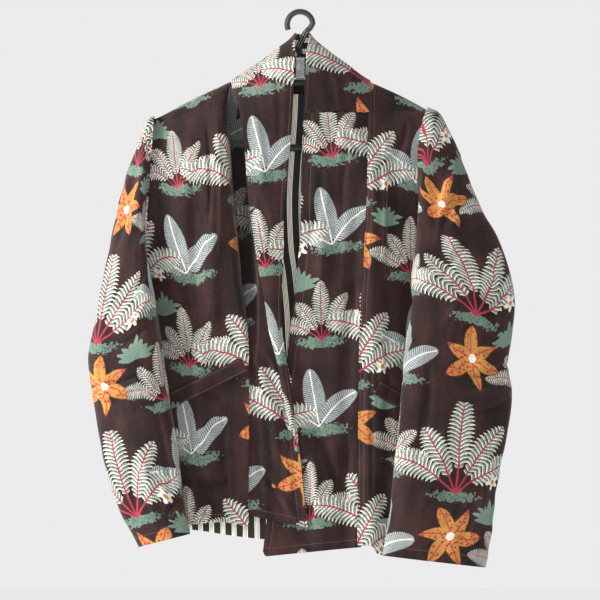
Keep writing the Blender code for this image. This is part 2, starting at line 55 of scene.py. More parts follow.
# Sleeve heads: top and bottom of each armhole seam, and its half depth
RIGHT_ARMHOLE = {"top": -143.5, "bottom": -376.0, "half_depth": 36.0}
LEFT_ARMHOLE = {"top": -131.0, "bottom": -366.0, "half_depth": 36.0}
ARMHOLE_POWER = 2.2
HEAD_CLEARANCE = 4.9

# Neckline: where the collar meets the shoulder, and how deep the back neck is
NECK_RIGHT = -93.0
NECK_LEFT = 97.0
NECK_DEPTH = 38.0
NECK_TOP = -91.0
NECK_DIP = 2.5
NECK_POWER = 2.4

# Shoulder line over the hanger's arms, by distance from the centre
SHOULDER_LINE = (
    # out, height
    (0, -82),
    (60, -84),
    (93, -93),
    (120, -104.2),
    (143, -115),
    (165, -126.6),
    (180, -135),
    (197, -143.8),
    (213, -150),
    (230, -158),
)

# Wearer's right front: side edge, crest of the roll beside the band, and the seam with the band
RIGHT_FRONT = (
    # height, side_x, crest_x, seam_x, seam_y
    (-93, -209, -108, -97, -9.5),
    (-120, -209, -112, -101, -10),
    (-150, -210, -111, -100, -11.5),
    (-190, -214, -108, -97, -15),
    (-260, -219, -103.5, -92.5, -19),
    (-330, -216.5, -97, -85.5, -23),
    (-358, -212, -94.5, -83, -25.5),
    (-372, -210.5, -93.5, -82, -27),
    (-400, -209, -90, -78, -33),
    (-440, -208.5, -86, -73, -43),
    (-470, -208, -83, -71.5, -50),
    (-520, -208, -80, -71, -53.4),
    (-720, -208, -80, -72, -53.4),
)
RIGHT_FRONT_HEM = (
    # across, height
    (-221, -724),
    (-190, -720),
    (-158, -715),
    (-108, -711),
    (-72, -717),
)
RIGHT_FRONT_TURN = 70.0

# Wearer's right band: its edge at the seam, where it comes up to the front, and the opening edge
RIGHT_BAND = (
    # height, seam_x, seam_y, rise_x, front_x
    (-108, -98.2, -10, -74, -9),
    (-128, -99.6, -10.5, -72, -10),
    (-190, -95.8, -14.5, -70, -14),
    (-260, -91.3, -18.5, -67, -22),
    (-330, -84.3, -22.5, -62, -23),
    (-400, -76.8, -32.2, -58, -26),
    (-440, -72.8, -40, -58, -25),
    (-472, -74, -46.2, -60, -21),
    (-505, -75, -48.9, -62, -15),
    (-540, -76, -50, -64, -11),
    (-582, -76, -50, -64, -5),
    (-617, -76, -50, -64, 0),
    (-686, -76, -50, -64, 7),
    (-720, -76, -50, -64, 11),
)
RIGHT_BAND_TOP = -108.0
RIGHT_BAND_HEM = (
    # across, height
    (-76, -700),
    (-60, -703),
    (-25, -711),
    (11, -718),
)

# Wearer's left front: its edge beside the band, and the side edge
LEFT_FRONT = (
    # height, seam_x, side_x
    (-96, 97, 186),
    (-150, 95.5, 182),
    (-195, 94.7, 177),
    (-256, 93, 173),
    (-300, 91, 174),
    (-330, 89.5, 180),
    (-345, 89, 182.5),
    (-358, 88.3, 183.5),
    (-372, 87.3, 185),
    (-400, 85, 189),
    (-500, 82, 197),
    (-745, 80, 205),
)
LEFT_FRONT_HEM = (
    # across, height
    (80, -746),
    (100, -744),
    (110, -756),
    (140, -757),
    (205, -748),
)
LEFT_FRONT_TURN = 100.0

# Wearer's left band: the opening edge and the edge tucked behind the left front
LEFT_BAND = (
    # height, front_x, seam_x
    (-137, 4, 101),
    (-190, 3, 100),
    (-260, 1, 98),
    (-316, 0, 95.5),
    (-354, -4, 93.5),
    (-390, -7, 91),
    (-428, -12, 89.5),
    (-490, -19, 87.5),
    (-540, -24, 86.5),
    (-610, -32, 86),
    (-680, -43, 85.5),
    (-760, -53, 85),
)
LEFT_BAND_TOP = -138.0
LEFT_BAND_HEM = (
    # across, height
    (-53, -759.5),
    (0, -754),
    (52, -749),
    (85, -746),
)

# Back: both side edges
BACK = (
    # height, right_x, left_x
    (-98, -209, 186),
    (-150, -210, 183),
    (-195, -214, 180),
    (-256, -219, 178),
    (-300, -218.5, 178.5),
    (-330, -216.5, 180),
    (-345, -215, 182.5),
    (-358, -212, 183.5),
    (-372, -210.5, 185),
    (-400, -209, 189),
    (-440, -208.5, 193.5),
    (-500, -208, 197),
    (-735, -208, 205),
)
BACK_HEM = (
    # across, height
    (-214, -722),
    (-158, -723),
    (-100, -731),
    (-46, -737),
    (40, -738),
    (130, -734),
    (205, -726),
)
BACK_TURN = 75.0

# Collars, from the centre back round the neck to the front, one row a section.
# Each bulges a little, and is creased only in front of a line across the neck
COLLAR_CROWN = 3.0
COLLAR_FRONT = -10.0
RIGHT_COLLAR = (
    # seam_x, seam_y, seam_z, edge_x, edge_y, edge_z
    (-0.15, 38.6, -88, -0.15, 17, -27),
    (-18, 37.4, -88, -5.5, 12, -26),
    (-50, 31, -89, -6.5, 3, -25.5),
    (-78, 16, -90.8, -6.5, -8, -26.5),
    (-94, 2, -91, -6.5, -20, -32),
    (-96, -14, -98, -7.5, -33, -50),
    (-90, -32, -115.5, -8.5, -43, -84),
    (-82, -46, -150, -10.5, -49, -132),
    (-76.5, -51.5, -200, -14.5, -52, -194),
    (-72, -52.8, -260, -22, -52.8, -258),
    (-61, -52.8, -339, -23, -52.8, -338),
    (-50, -52.8, -400, -26, -52.8, -400),
    (-43.5, -52.8, -444, -24.5, -52.8, -444),
    (-34, -52.8, -480, -19.5, -52.8, -480),
    (-25.5, -52.8, -525, -12, -52.8, -525),
    (-16, -52.8, -570, -6, -52.8, -570),
    (-7, -52.8, -612, -0.5, -52.8, -612),
)
LEFT_COLLAR = (
    # seam_x, seam_y, seam_z, edge_x, edge_y, edge_z
    (0.15, 38.6, -88, 0.15, 17, -27),
    (18, 37.4, -88, 10, 12, -26),
    (52, 31, -89, 13.5, 3, -25.5),
    (80, 16, -90.5, 14, -8, -27),
    (97, 2, -91.5, 13, -20, -34),
    (99, -13, -97.5, 9, -32, -56),
    (98, -19.5, -116.5, 7.5, -39, -92),
    (97, -27, -137, 4, -43, -137),
)

# Sleeves, from the head to the cuff: outer and inner edge of each ring, its half depth,
# and how far its front and its back reach towards the body
RIGHT_SLEEVE = (
    # outer_x, outer_y, outer_z, inner_x, inner_y, inner_z, half_depth, front_reach, back_reach
    (-205, 0, -142, -222, 0, -376, 36, 1.5, 1.5),
    (-214, -1, -147.8, -222, -3, -379, 37, 3, 1),
    (-226, -3, -176, -220, -12, -381, 40, 5.5, 0),
    (-240, -6, -215, -214, -24, -385, 41, 7.2, 0),
    (-254, -10, -268, -207, -36, -394, 42, 7.4, 0),
    (-265, -15, -325, -202, -46, -411, 41, 5, 0),
    (-274, -20, -380, -198, -52, -437, 39, 2, 0),
    (-283, -25, -430, -194, -57, -463, 36, 0, 0),
    (-295, -28, -473, -190, -60, -492, 33, 0, 0),
    (-294, -34, -503, -186, -63, -519, 32, 0, 0),
    (-287, -38, -542, -182, -65, -552, 29, 0, 0),
    (-279, -42, -589, -175, -67, -590, 27, 0, 0),
    (-271, -46, -632, -169, -68, -632, 26, 0, 0),
    (-258, -50, -677, -164, -68, -672, 25, 0, 0),
    (-244, -53, -710, -160, -68, -700, 23, 0, 0),
    (-225, -56, -745, -155, -68, -727, 20, 0, 0),
)
LEFT_SLEEVE = (
    # outer_x, outer_y, outer_z, inner_x, inner_y, inner_z, half_depth, front_reach, back_reach
    (180, 0, -130, 195, 0, -366, 34.5, 22, 13),
    (198, -3, -142, 197, -7, -372, 40, 30, 7),
    (219, -9, -184, 197, -24, -380, 42, 42, 0),
    (238, -16, -232, 186, -42, -388, 40, 38, 0),
    (252, -23, -268, 175, -55, -396, 37, 27, 0),
    (273, -28, -309, 164, -62, -409, 34, 15, 0),
    (292, -32, -355, 156, -66, -427, 31, 7, 0),
    (301, -35, -398, 150, -68, -449, 29, 2, 0),
    (297, -34, -449, 146, -68, -478, 28, 0, 0),
    (291, -37, -490, 144, -70, -507, 26, 0, 0),
    (297, -40, -532, 141, -71, -538, 25, 0, 0),
    (291, -43, -580, 137, -72, -580, 24, 0, 0),
    (280, -45, -634, 131, -73, -632, 24, 0, 0),
    (272, -47, -680, 126, -73, -684, 24, 0, 0),
    (268, -49, -722, 121, -73, -722, 23, 0, 0),
    (259, -51, -774, 116, -73, -757, 21, 0, 0),
)
SLEEVE_POWER = 2.5

# Largest folds. Each is a soft ridge, or a trough where rise is negative:
# top_x, top_z, bottom_x, bottom_z, half_width, rise
RIGHT_FRONT_FOLDS = (
    (-128, -150, -122, -400, 16, 4),
    (-150, -190, -146, -430, 15, -4),
    (-142, -430, -130, -730, 22, 5),
    (-108, -520, -102, -740, 16, -4),
)
RIGHT_BAND_FOLDS = (
    (-52, -500, -48, -730, 14, 2),
)
LEFT_FRONT_FOLDS = (
    (104, -150, 98, -760, 14, 3),
    (128, -200, 118, -760, 13, -4),
)
LEFT_BAND_FOLDS = (
    (80, -250, 66, -520, 17, -5),
    (36, -180, 18, -470, 24, 3),
    (46, -540, 34, -770, 22, 3),
    (66, -560, 64, -770, 16, -4),
)
BACK_FOLDS = (
    (-130, -260, -118, -750, 34, 6),
    (-62, -320, -66, -750, 30, -5),
    (12, -240, 6, -750, 36, 5),
    (74, -300, 80, -750, 30, -5),
    (128, -260, 140, -750, 32, 5),
)
FOLD_FADE = 70.0

# Pocket welts: the two ends of the slanting welt on each front, and its width
RIGHT_WELT = {"ends": ((-184, -544), (-78, -490)), "width": 21.0}
LEFT_WELT = {"ends": ((106, -524), (184, -563)), "width": 21.0}

# Lining: shares of the back left bare at each side and at the top, how far forward it lies, share of creases
LINING_SIDE = 1 / 16
LINING_TOP = 2.5 / 22
LINING_FORWARD = 1.0
LINING_CREASE_SHARE = 0.8

# How far the right band laps under the front beside it and up behind the collar
BAND_LAP = 5.0
BAND_LAP_DEPTH = 3.4
BAND_LAP_START = 2.0
BAND_LAP_UP = 7.0

# Depth of each band at its top, and how far above its top it starts to come forward
RIGHT_BAND_START = {"depth": 12.0, "above": 6.0}
LEFT_BAND_START = {"depth": 33.0, "above": 70.0}

# Left band's tucked edge: where it starts to sink behind the front, over what width, and where it is held
TUCK_START = 45.0
TUCK_WIDTH = 40.0
TUCK_HELD = 8.0

# Depth behind which the velvet is painted darker, as painted shade in the hollow beside the lapel, and how
# gradually
VALLEY_FRONT = -44.0
VALLEY_FADE = 14.0

# Rounding of the left band's lower front corner
BAND_CORNER = 8.0

# Share by which creases and slack are raised, the share of a sheet over which a held edge flattens them,
# and how much the slack shifts with depth, so that front and rear of a sleeve differ
CREASE_SHARE = 1.7
SLACK_SHARE = 1.2
HELD_SHARE = 0.06
SLACK_LEAN = 0.7

# A crease's width at its ends, as a share of its full width, and how fast it dies out
CREASE_ENDS = 0.55
CREASE_FADE = 0.8

# Edges: rounding as a share of the wall, distance at which points are joined, angles to round and keep sharp
EDGE_ROUNDING = 0.4
WELD = 0.01
EDGE_ANGLE = math.radians(55)
SMOOTH_ANGLE = math.radians(60)

# Panels that hang straight down
LEVEL_PANELS = ("back", "front_right", "front_left", "band_right", "band_left", "back_lining")

# Edges of a panel that are sewn to others and so stay on their seams
SEAMED = ("low_u", "high_u", "high_v")

# Sewing
STITCH_PITCH = 3.6
STITCH_LENGTH = 2.7
THREAD_RADIUS = 0.35
THREAD_PROUD = 0.4
NO_STITCH = 99.0

# Print: one half-drop repeat across and up, and its inks on the velvet
REPEAT = (212.0, 256.0)
VELVET = {"shade": "#0a0504", "light": "#2f1a19"}
PRINT = {
    "off-white": "#beb9ae",
    "slate sage": "#66726b",
    "sage": "#586b5f",
    "dark sage": "#3a443f",
    "pale sage": "#858a8a",
    "red": "#882736",
    "deep red": "#8c262e",
    "gold": "#956329",
    "pale gold": "#a6783d",
    "brown": "#3a2418",
}

# Lining: pitch of the stripes and the share of it that is cream
STRIPE_PITCH = 16.5
STRIPE_SHARE = 0.46

# Hanger: rims across the hub's plate, and ridges up the front of the hook's stem
RIM_SIZE = (13.2, 1.2, 1.5)
RIM_MIDDLE = (0.5, -5.1, -61.6)
RIM_DROP = 26.8
RIDGE_RADIUS = 0.55
RIDGE_FRONT = -3.6
RIDGE_LINE = ((-3.4, -45.5), (-1.3, -39.6), (1.9, -33.6), (4.2, -27.6), (8.0, -22.4))
RIDGE_STEP = (3.1, 0, -1.8)
RIM_ROUNDING = 0.4

# Stage, in metres: floor, lights, what they face, and a camera so far away that it sees almost square on
FLOOR = -1.15
FLOOR_SIZE = 24.0
SKY = 0.55
LIGHTS = (
    # name, place, size, watts
    ("key light", (-3.2, -1.0, 0.9), 0.9, 185),
    ("front light", (0.0, -5.5, -0.25), 0.5, 88),
)
LIT_MIDDLE = (0, 0, -0.4)
CAMERA = (0, -14, -0.4004)
LENS = 599.0
SENSOR = 36.0
EXPOSURE = 0.6

# Creases that the solids leave out, laid on each panel as seen from the front or from behind.
# Each is a soft ridge, or a trough where rise is negative, that bows to one side and dies out at both ends:
# start_x, start_z, end_x, end_z, half_width, rise, bow
RIGHT_FRONT_CREASES = (
    (-116, -140, -113, -345, 7, 2.2, 3),
    (-131, -150, -128, -300, 7, -2.6, 4),
    (-204, -214, -168, -248, 6, -2.4, 3),
    (-200, -232, -164, -262, 6, 1.8, -3),
    (-158, -246, -130, -262, 5, -1.8, 2),
    (-196, -404, -138, -410, 4.5, -2.0, 3),
    (-194, -416, -146, -420, 5, 1.6, 2),
    (-180, -610, -110, -668, 15, 3.4, 8),
    (-188, -640, -128, -690, 11, -3.0, 7),
    (-172, -300, -164, -480, 14, -2.4, 6),
    (-98, -560, -92, -700, 8, 2.0, -3),
    (-150, -560, -160, -706, 10, 1.8, 4),
    (-172, -646, -96, -652, 12, -4.6, -5),
    (-118, -662, -112, -712, 7, 2.4, 2),
    (-136, -664, -140, -712, 8, -2.2, 2),
    (-166, -520, -104, -545, 14, -2.4, 6),
)
RIGHT_BAND_CREASES = (
    (-52, -460, -22, -560, 8, 1.6, 5),
    (-58, -560, -50, -700, 8, -1.4, -3),
    (-30, -600, -12, -690, 10, 1.4, 4),
    (-66, -470, -30, -640, 12, 3.0, 8),
    (-48, -480, -10, -620, 9, -2.6, 6),
    (-70, -620, -20, -700, 10, -2.4, 6),
    (-44, -660, -2, -716, 9, 2.4, 5),
)
LEFT_FRONT_CREASES = (
    (118, -150, 112, -420, 7, 2.0, 3),
    (134, -170, 126, -360, 7, -2.4, -4),
    (150, -150, 128, -210, 8, -2.0, 4),
    (96, -430, 100, -700, 6, -1.6, 2),
    (112, -440, 110, -600, 7, 1.8, 3),
)
LEFT_BAND_CREASES = (
    (30, -310, 24, -396, 10, 2.2, 3),
    (72, -360, 62, -456, 10, -2.6, 4),
    (62, -560, 58, -715, 8, -2.6, 3),
    (40, -138, 88, -180, 6, 1.8, 5),
    (46, -152, 84, -200, 6, -1.8, 5),
    (70, -150, 60, -300, 8, -1.6, -4),
    (4, -428, 40, -420, 5, -1.2, 3),
    (12, -560, 20, -740, 10, 1.6, 5),
    (-20, -560, 30, -700, 14, 2.6, 10),
    (0, -540, 60, -690, 12, -2.6, 8),
    (-34, -690, 20, -756, 10, -2.0, 6),
    (30, -210, 10, -330, 12, -2.0, 6),
)
BACK_CREASES = (
    (-196, -222, -140, -292, 8, -2.6, 6),
    (-190, -250, -128, -318, 8, 2.0, 6),
    (172, -214, 118, -288, 8, -2.6, -6),
    (170, -244, 112, -312, 8, 2.0, -6),
    (-60, -118, -74, -230, 9, -1.8, 5),
    (62, -118, 78, -236, 9, -1.8, -5),
    (-20, -330, -30, -640, 13, -2.6, 9),
    (44, -380, 38, -720, 12, 2.4, -8),
    (-100, -420, -96, -730, 11, 2.2, 7),
    (104, -440, 108, -726, 12, -2.4, 6),
    (-170, -560, -120, -640, 12, 2.6, 7),
    (168, -580, 120, -660, 12, 2.4, -7),
)
LAPEL_CREASES = (
    (-70, -110, -52, -250, 10, 1.8, 4),
    (-34, -70, -30, -190, 8, -1.2, 3),
    (-60, -250, -40, -330, 8, -1.2, 3),
)
COLLAR_LEFT_CREASES = (
    (36, -60, 56, -132, 8, 1.4, 4),
    (60, -84, 78, -134, 7, -1.4, 3),
)
RIGHT_SLEEVE_CREASES = (
    (-216, -180, -244, -330, 10, 2.2, 6),
    (-228, -176, -262, -340, 9, -2.4, 6),
    (-216, -360, -268, -420, 9, -3.0, 8),
    (-210, -390, -262, -452, 9, 2.6, 8),
    (-204, -430, -286, -476, 9, -2.8, 7),
    (-296, -520, -216, -500, 7, -3.2, -6),
    (-292, -536, -226, -520, 7, 2.4, -6),
    (-280, -560, -200, -548, 10, 2.2, 6),
    (-262, -570, -226, -720, 11, -2.6, 7),
    (-236, -580, -200, -726, 11, 2.4, 6),
    (-200, -560, -178, -700, 9, -2.0, 5),
    (-188, -699, -158, -672, 6, -3.2, 3),
    (-182, -712, -160, -690, 6, 2.4, 3),
    (-293, -522, -256, -530, 4.5, -2.0, 2),
    (-278, -598, -244, -588, 5, -1.8, -3),
    (-236, -640, -196, -655, 8, 1.8, 4),
)
LEFT_SLEEVE_CREASES = (
    (226, -190, 190, -330, 10, 2.2, -6),
    (240, -236, 196, -300, 8, -3.0, -6),
    (256, -276, 206, -300, 8, 2.4, -6),
    (262, -292, 196, -378, 10, -2.4, -8),
    (288, -360, 196, -440, 12, 2.6, -10),
    (292, -400, 204, -470, 11, -2.6, -9),
    (296, -488, 226, -506, 8, -3.4, 6),
    (296, -516, 220, -530, 8, 2.6, 6),
    (292, -538, 236, -560, 8, -2.4, 5),
    (252, -596, 200, -720, 11, -2.8, 9),
    (268, -600, 228, -752, 10, 2.4, 8),
    (206, -560, 166, -700, 13, 2.2, 7),
    (180, -480, 160, -640, 12, -2.4, 6),
    (240, -470, 290, -486, 6, -2.2, 4),
    (244, -492, 288, -506, 6, 1.8, 4),
    (170, -660, 230, -690, 8, -2.0, 5),
    (236, -600, 270, -640, 8, 1.8, 5),
)

# Cells of each sheet across and down, about 2.6 mm each
CELLS = {
    "front_right": (74, 240),
    "band_right": (36, 230),
    "front_left": (54, 250),
    "band_left": (42, 240),
    "back": (150, 236),
    "back_lining": (70, 120),
    "collar_right": (26, 300),
    "collar_left": (28, 100),
    "sleeve_right": (116, 232),
    "sleeve_left": (132, 246),
    "welt": (46, 9),
}


def read_column(table, column, key, key_column=0):
    """A table's column read at many keys by a cubic through its rows, held at both ends."""
    rows = np.array(sorted(table, key=lambda row: row[key_column]), float)
    keys, values = rows[:, key_column], rows[:, column]
    places = np.arange(len(keys))
    low, high = np.maximum(places - 1, 0), np.minimum(places + 1, len(keys) - 1)
    slopes = (values[high] - values[low]) / (keys[high] - keys[low])
    key = np.clip(key, keys[0], keys[-1])
    i = np.clip(np.searchsorted(keys, key, side="right") - 1, 0, len(keys) - 2)
    span = keys[i + 1] - keys[i]
    t = (key - keys[i]) / span
    return (
        values[i] * (1 + 2 * t) * (1 - t) ** 2
        + slopes[i] * span * t * (1 - t) ** 2
        + values[i + 1] * t * t * (3 - 2 * t)
        - slopes[i + 1] * span * t * t * (1 - t)
    )


def read_row(table, share):
    """Every column of a table whose rows are evenly numbered from 0 to 1."""
    numbered = [(i / (len(table) - 1), *row) for i, row in enumerate(table)]
    return [read_column(numbered, c + 1, share) for c in range(len(table[0]))]


def ease(t):
    """Goes from 0 to 1 fast at first, then levels off."""
    return 1 - (1 - np.clip(t, 0, 1)) ** 2


def soften(t):
    """Goes from 0 to 1 with a soft start and end."""
    t = np.clip(t, 0, 1)
    return t * t * (3 - 2 * t)


def round_off(t):
    """Goes from 0 to 1 as a quarter circle does, level at 0 and upright at 1."""
    t = np.clip(t, 0, 1)
    return 1 - np.sqrt(1 - t * t)


def crowded_up(v):
    """Shares of a panel's height that lie closer together near the shoulder."""
    return 1 - (1 - v) ** ROWS_CROWD_UP


def shoulder_height(x):
    return read_column(SHOULDER_LINE, 1, np.abs(x))


def across_panel(table, first, last, u, z):
    """Places at a share u of the way from one column of a panel's table to another, at heights z."""
    start, end = read_column(table, first, z), read_column(table, last, z)
    return start + (end - start) * u


def along_hem(table, first, last, u):
    """Places along the lowest row of a panel's table."""
    return across_panel(table, first, last, u, table[-1][0])


def shoulder_top(table, first, last, u):
    """Height at which each column of a panel meets the shoulder line."""
    z = np.full_like(u, table[0][0])
    for _ in range(6):
        z = shoulder_height(across_panel(table, first, last, u, z))
    return z


def roll_over_shoulder(drop, depth):
    """Depth of the cloth at a drop below the shoulder line, where it turns over the hanger's arm."""
    turn = SHOULDER_ROLL * np.sqrt(np.maximum(0, 1 - (1 - np.clip(drop / SHOULDER_ROLL, 0, 1)) ** 2))
    spread = SHOULDER_ROLL + (depth - SHOULDER_ROLL) * ease((drop - SHOULDER_ROLL) / SHOULDER_SPREAD)
    return np.where(drop < SHOULDER_ROLL, turn, spread)


def armhole_depth(height, armhole, inset):
    """Half depth of the body at the armhole's edge. It is nothing above and below the armhole."""
    middle = (armhole["top"] + armhole["bottom"]) / 2
    half = (armhole["top"] - armhole["bottom"]) / 2 - inset
    off = np.clip(np.abs(height - middle) / half, 0, 1)
    return (armhole["half_depth"] - inset) * (1 - off**ARMHOLE_POWER) ** (1 / ARMHOLE_POWER)


def fold_rise(folds, x, z):
    """Height of the solid's own folds at each place, each faded in and out along its length."""
    total = np.zeros_like(x)
    for top_x, top_z, bottom_x, bottom_z, half_width, rise in folds:
        along = (top_z - z) / (top_z - bottom_z)
        off = np.clip(np.abs(x - top_x - (bottom_x - top_x) * along) / half_width, 0, 1)
        length = soften((top_z - z) / FOLD_FADE) * soften((z - bottom_z + FOLD_FADE) / FOLD_FADE)
        total += rise * (1 + np.cos(math.pi * off)) / 2 * length
    return total


def crease_rise(creases, x, z):
    """Height of listed creases at each place, widest in the middle of their length."""
    total = np.zeros_like(x)
    for start_x, start_z, end_x, end_z, half_width, rise, bow in creases:
        length = math.hypot(end_x - start_x, end_z - start_z)
        along_x, along_z = (end_x - start_x) / length, (end_z - start_z) / length
        share = ((x - start_x) * along_x + (z - start_z) * along_z) / length
        swell = np.sin(math.pi * np.clip(share, 0, 1))
        aside = (x - start_x) * along_z - (z - start_z) * along_x + bow * swell
        width = half_width * (CREASE_ENDS + (1 - CREASE_ENDS) * swell)
        off = np.clip(np.abs(aside) / width, 0, 1)
        total += rise * (1 + np.cos(math.pi * off)) / 2 * swell**CREASE_FADE
    return total


def slack(x, z, seed):
    """The small uneven drape that hanging cloth has everywhere: long soft waves that come and go."""
    # waves 55 and 34 mm wide that wander on their way down, and pulls 47 mm apart across them
    wander = 0.9 * np.sin(z / 83 + seed) + 0.5 * np.sin(z / 41 + 2.1 * seed)
    drape = 0.9 * np.sin(2 * math.pi * x / 55 + wander + seed)
    drape += 0.5 * np.sin(2 * math.pi * x / 34 - wander + 2 * seed)
    pull = 0.5 * np.sin(2 * math.pi * (z / 47 + x / 130) + 1.4 * wander + seed)
    share = 0.5 + 0.5 * np.sin(x / 61 + z / 97 + 3 * seed)
    return drape * share + pull * (1 - share)


def turned_side(across, turn, edge_depth, face_depth):
    """Depth of a panel that turns from its side edge to its face over a given width."""
    return edge_depth + (face_depth - edge_depth) * np.sin(np.minimum(across / turn, 1) * math.pi / 2)


def come_forward(depth, drop, start):
    """Depth of a band that is shallow at its top and reaches its full depth lower down."""
    return start["depth"] + (depth - start["depth"]) * ease((drop + start["above"]) / SHOULDER_SPREAD)


def front_right(u, v):
    """Wearer's right front, u from the side to the band's seam and v from the hem to the shoulder."""
    hem_x = along_hem(RIGHT_FRONT, 1, 3, u)
    top, hem = shoulder_top(RIGHT_FRONT, 1, 3, u), read_column(RIGHT_FRONT_HEM, 1, hem_x)
    z = hem + (top - hem) * crowded_up(v)
    side_x, crest_x, seam_x, seam_y = (read_column(RIGHT_FRONT, c, z) for c in (1, 2, 3, 4))
    x = side_x + (seam_x - side_x) * u
    face = roll_over_shoulder(np.maximum(top - z, 0), RIGHT_FRONT_DEPTH + fold_rise(RIGHT_FRONT_FOLDS, x, z))
    edge = np.maximum(armhole_depth(z, RIGHT_ARMHOLE, HEAD_CLEARANCE), SEAM_GAP / 2)
    depth = turned_side(x - side_x, RIGHT_FRONT_TURN, edge, face)
    fall = round_off((x - crest_x) / (seam_x - crest_x))
    depth += (np.minimum(-seam_y, depth) - depth) * fall
    return np.stack((x, -np.maximum(depth, SEAM_GAP / 2), z), axis=-1)


def band_right(u, v):
    """Wearer's right band, u from under the front's seam to the opening edge and v from the hem up."""
    hem_x = along_hem(RIGHT_BAND, 1, 4, u)
    hem, top = read_column(RIGHT_BAND_HEM, 1, hem_x), RIGHT_BAND_TOP + BAND_LAP_UP
    z = hem + (top - hem) * v
    seam_x, seam_y, rise_x, front_x = (read_column(RIGHT_BAND, c, z) for c in (1, 2, 3, 4))
    x = seam_x - BAND_LAP + (front_x - seam_x + BAND_LAP) * u
    depth = RIGHT_BAND_DEPTH + fold_rise(RIGHT_BAND_FOLDS, x, z)
    depth = come_forward(depth, RIGHT_BAND_TOP - z, RIGHT_BAND_START)
    floor = np.minimum(-seam_y, depth)
    depth = floor + (depth - floor) * round_off((x - seam_x) / (rise_x - seam_x))
    depth -= BAND_LAP_DEPTH * soften((seam_x + BAND_LAP_START - x) / BAND_LAP)
    return np.stack((x, -depth, z), axis=-1)


def front_left(u, v):
    """Wearer's left front, u from the band to the side and v from the hem to the shoulder."""
    hem_x = along_hem(LEFT_FRONT, 1, 2, u)
    top, hem = shoulder_top(LEFT_FRONT, 1, 2, u), read_column(LEFT_FRONT_HEM, 1, hem_x)
    z = hem + (top - hem) * crowded_up(v)
    seam_x, side_x = (read_column(LEFT_FRONT, c, z) for c in (1, 2))
    x = seam_x + (side_x - seam_x) * u
    face = roll_over_shoulder(np.maximum(top - z, 0), LEFT_FRONT_DEPTH + fold_rise(LEFT_FRONT_FOLDS, x, z))
    edge = np.maximum(armhole_depth(z, LEFT_ARMHOLE, HEAD_CLEARANCE), SEAM_GAP / 2)
    depth = turned_side(side_x - x, LEFT_FRONT_TURN, edge, face)
    return np.stack((x, -np.maximum(depth, SEAM_GAP / 2), z), axis=-1)


def band_left(u, v):
    """Wearer's left band, u from the opening edge to its tucked edge and v from the hem up."""
    hem_x = along_hem(LEFT_BAND, 1, 2, u)
    hem = read_column(LEFT_BAND_HEM, 1, hem_x)
    near = np.clip(1 - (hem_x - LEFT_BAND[-1][1]) / BAND_CORNER, 0, 1)
    hem = hem + BAND_CORNER * (1 - np.sqrt(1 - near**2))
    z = hem + (LEFT_BAND_TOP - hem) * v
    front_x, seam_x = (read_column(LEFT_BAND, c, z) for c in (1, 2))
    x = front_x + (seam_x - front_x) * u
    depth = LEFT_BAND_DEPTH + fold_rise(LEFT_BAND_FOLDS, x, z)
    tucked = roll_over_shoulder(shoulder_height(x) - z, LEFT_FRONT_DEPTH) - VELVET_WALL - TUCK_GAP
    sinking = soften((x - seam_x + TUCK_START) / TUCK_WIDTH)
    depth = np.minimum(depth, depth + (tucked - depth) * sinking)
    depth = come_forward(depth, LEFT_BAND_TOP - z, LEFT_BAND_START)
    depth = np.minimum(depth, tucked + TUCK_WIDTH * soften((seam_x - TUCK_HELD - x) / TUCK_WIDTH))
    return np.stack((x, -depth, z), axis=-1)


def back(u, v):
    """Back, u from the wearer's left to the right and v from the hem to the shoulders and neck."""
    hem_x = along_hem(BACK, 2, 1, u)
    top = shoulder_top(BACK, 2, 1, u)
    top_x = across_panel(BACK, 2, 1, u, top)
    neck = np.where(top_x > 0, NECK_LEFT, NECK_RIGHT)
    in_neck = np.maximum(0, 1 - np.abs(top_x / neck) ** NECK_POWER)
    top = np.where(in_neck > 0, np.minimum(top, NECK_TOP - NECK_DIP * (1 - in_neck)), top)
    hem = read_column(BACK_HEM, 1, hem_x)
    z = hem + (top - hem) * crowded_up(v)
    right_x, left_x = (read_column(BACK, c, z) for c in (1, 2))
    x = left_x + (right_x - left_x) * u
    face = BACK_DEPTH + fold_rise(BACK_FOLDS, x, z)
    rolled = roll_over_shoulder(np.maximum(top - z, 0), face)
    nape = NECK_DEPTH * in_neck
    face = np.maximum(rolled, nape + (face - nape) * ease((top - z) / SHOULDER_SPREAD))
    left_edge = armhole_depth(z, LEFT_ARMHOLE, HEAD_CLEARANCE)
    right_edge = armhole_depth(z, RIGHT_ARMHOLE, HEAD_CLEARANCE)
    edge = np.maximum(np.where(x > 0, left_edge, right_edge), SEAM_GAP / 2)
    depth = turned_side(np.minimum(x - right_x, left_x - x), BACK_TURN, edge, face)
    return np.stack((x, np.maximum(depth, SEAM_GAP / 2), z), axis=-1)


def collar(table, crown):
    """A collar's surface, u from its seam to its free edge and v from the front end to the centre back."""

    def surface(u, v):
        row = read_row(table, 1 - v)
        seam, edge = np.stack(row[:3], axis=-1), np.stack(row[3:], axis=-1)
        point = seam + (edge - seam) * u[..., None]
        point[..., 1] -= crown * np.sin(math.pi * u) * soften((1 - v) * 3)
        return point

    return surface


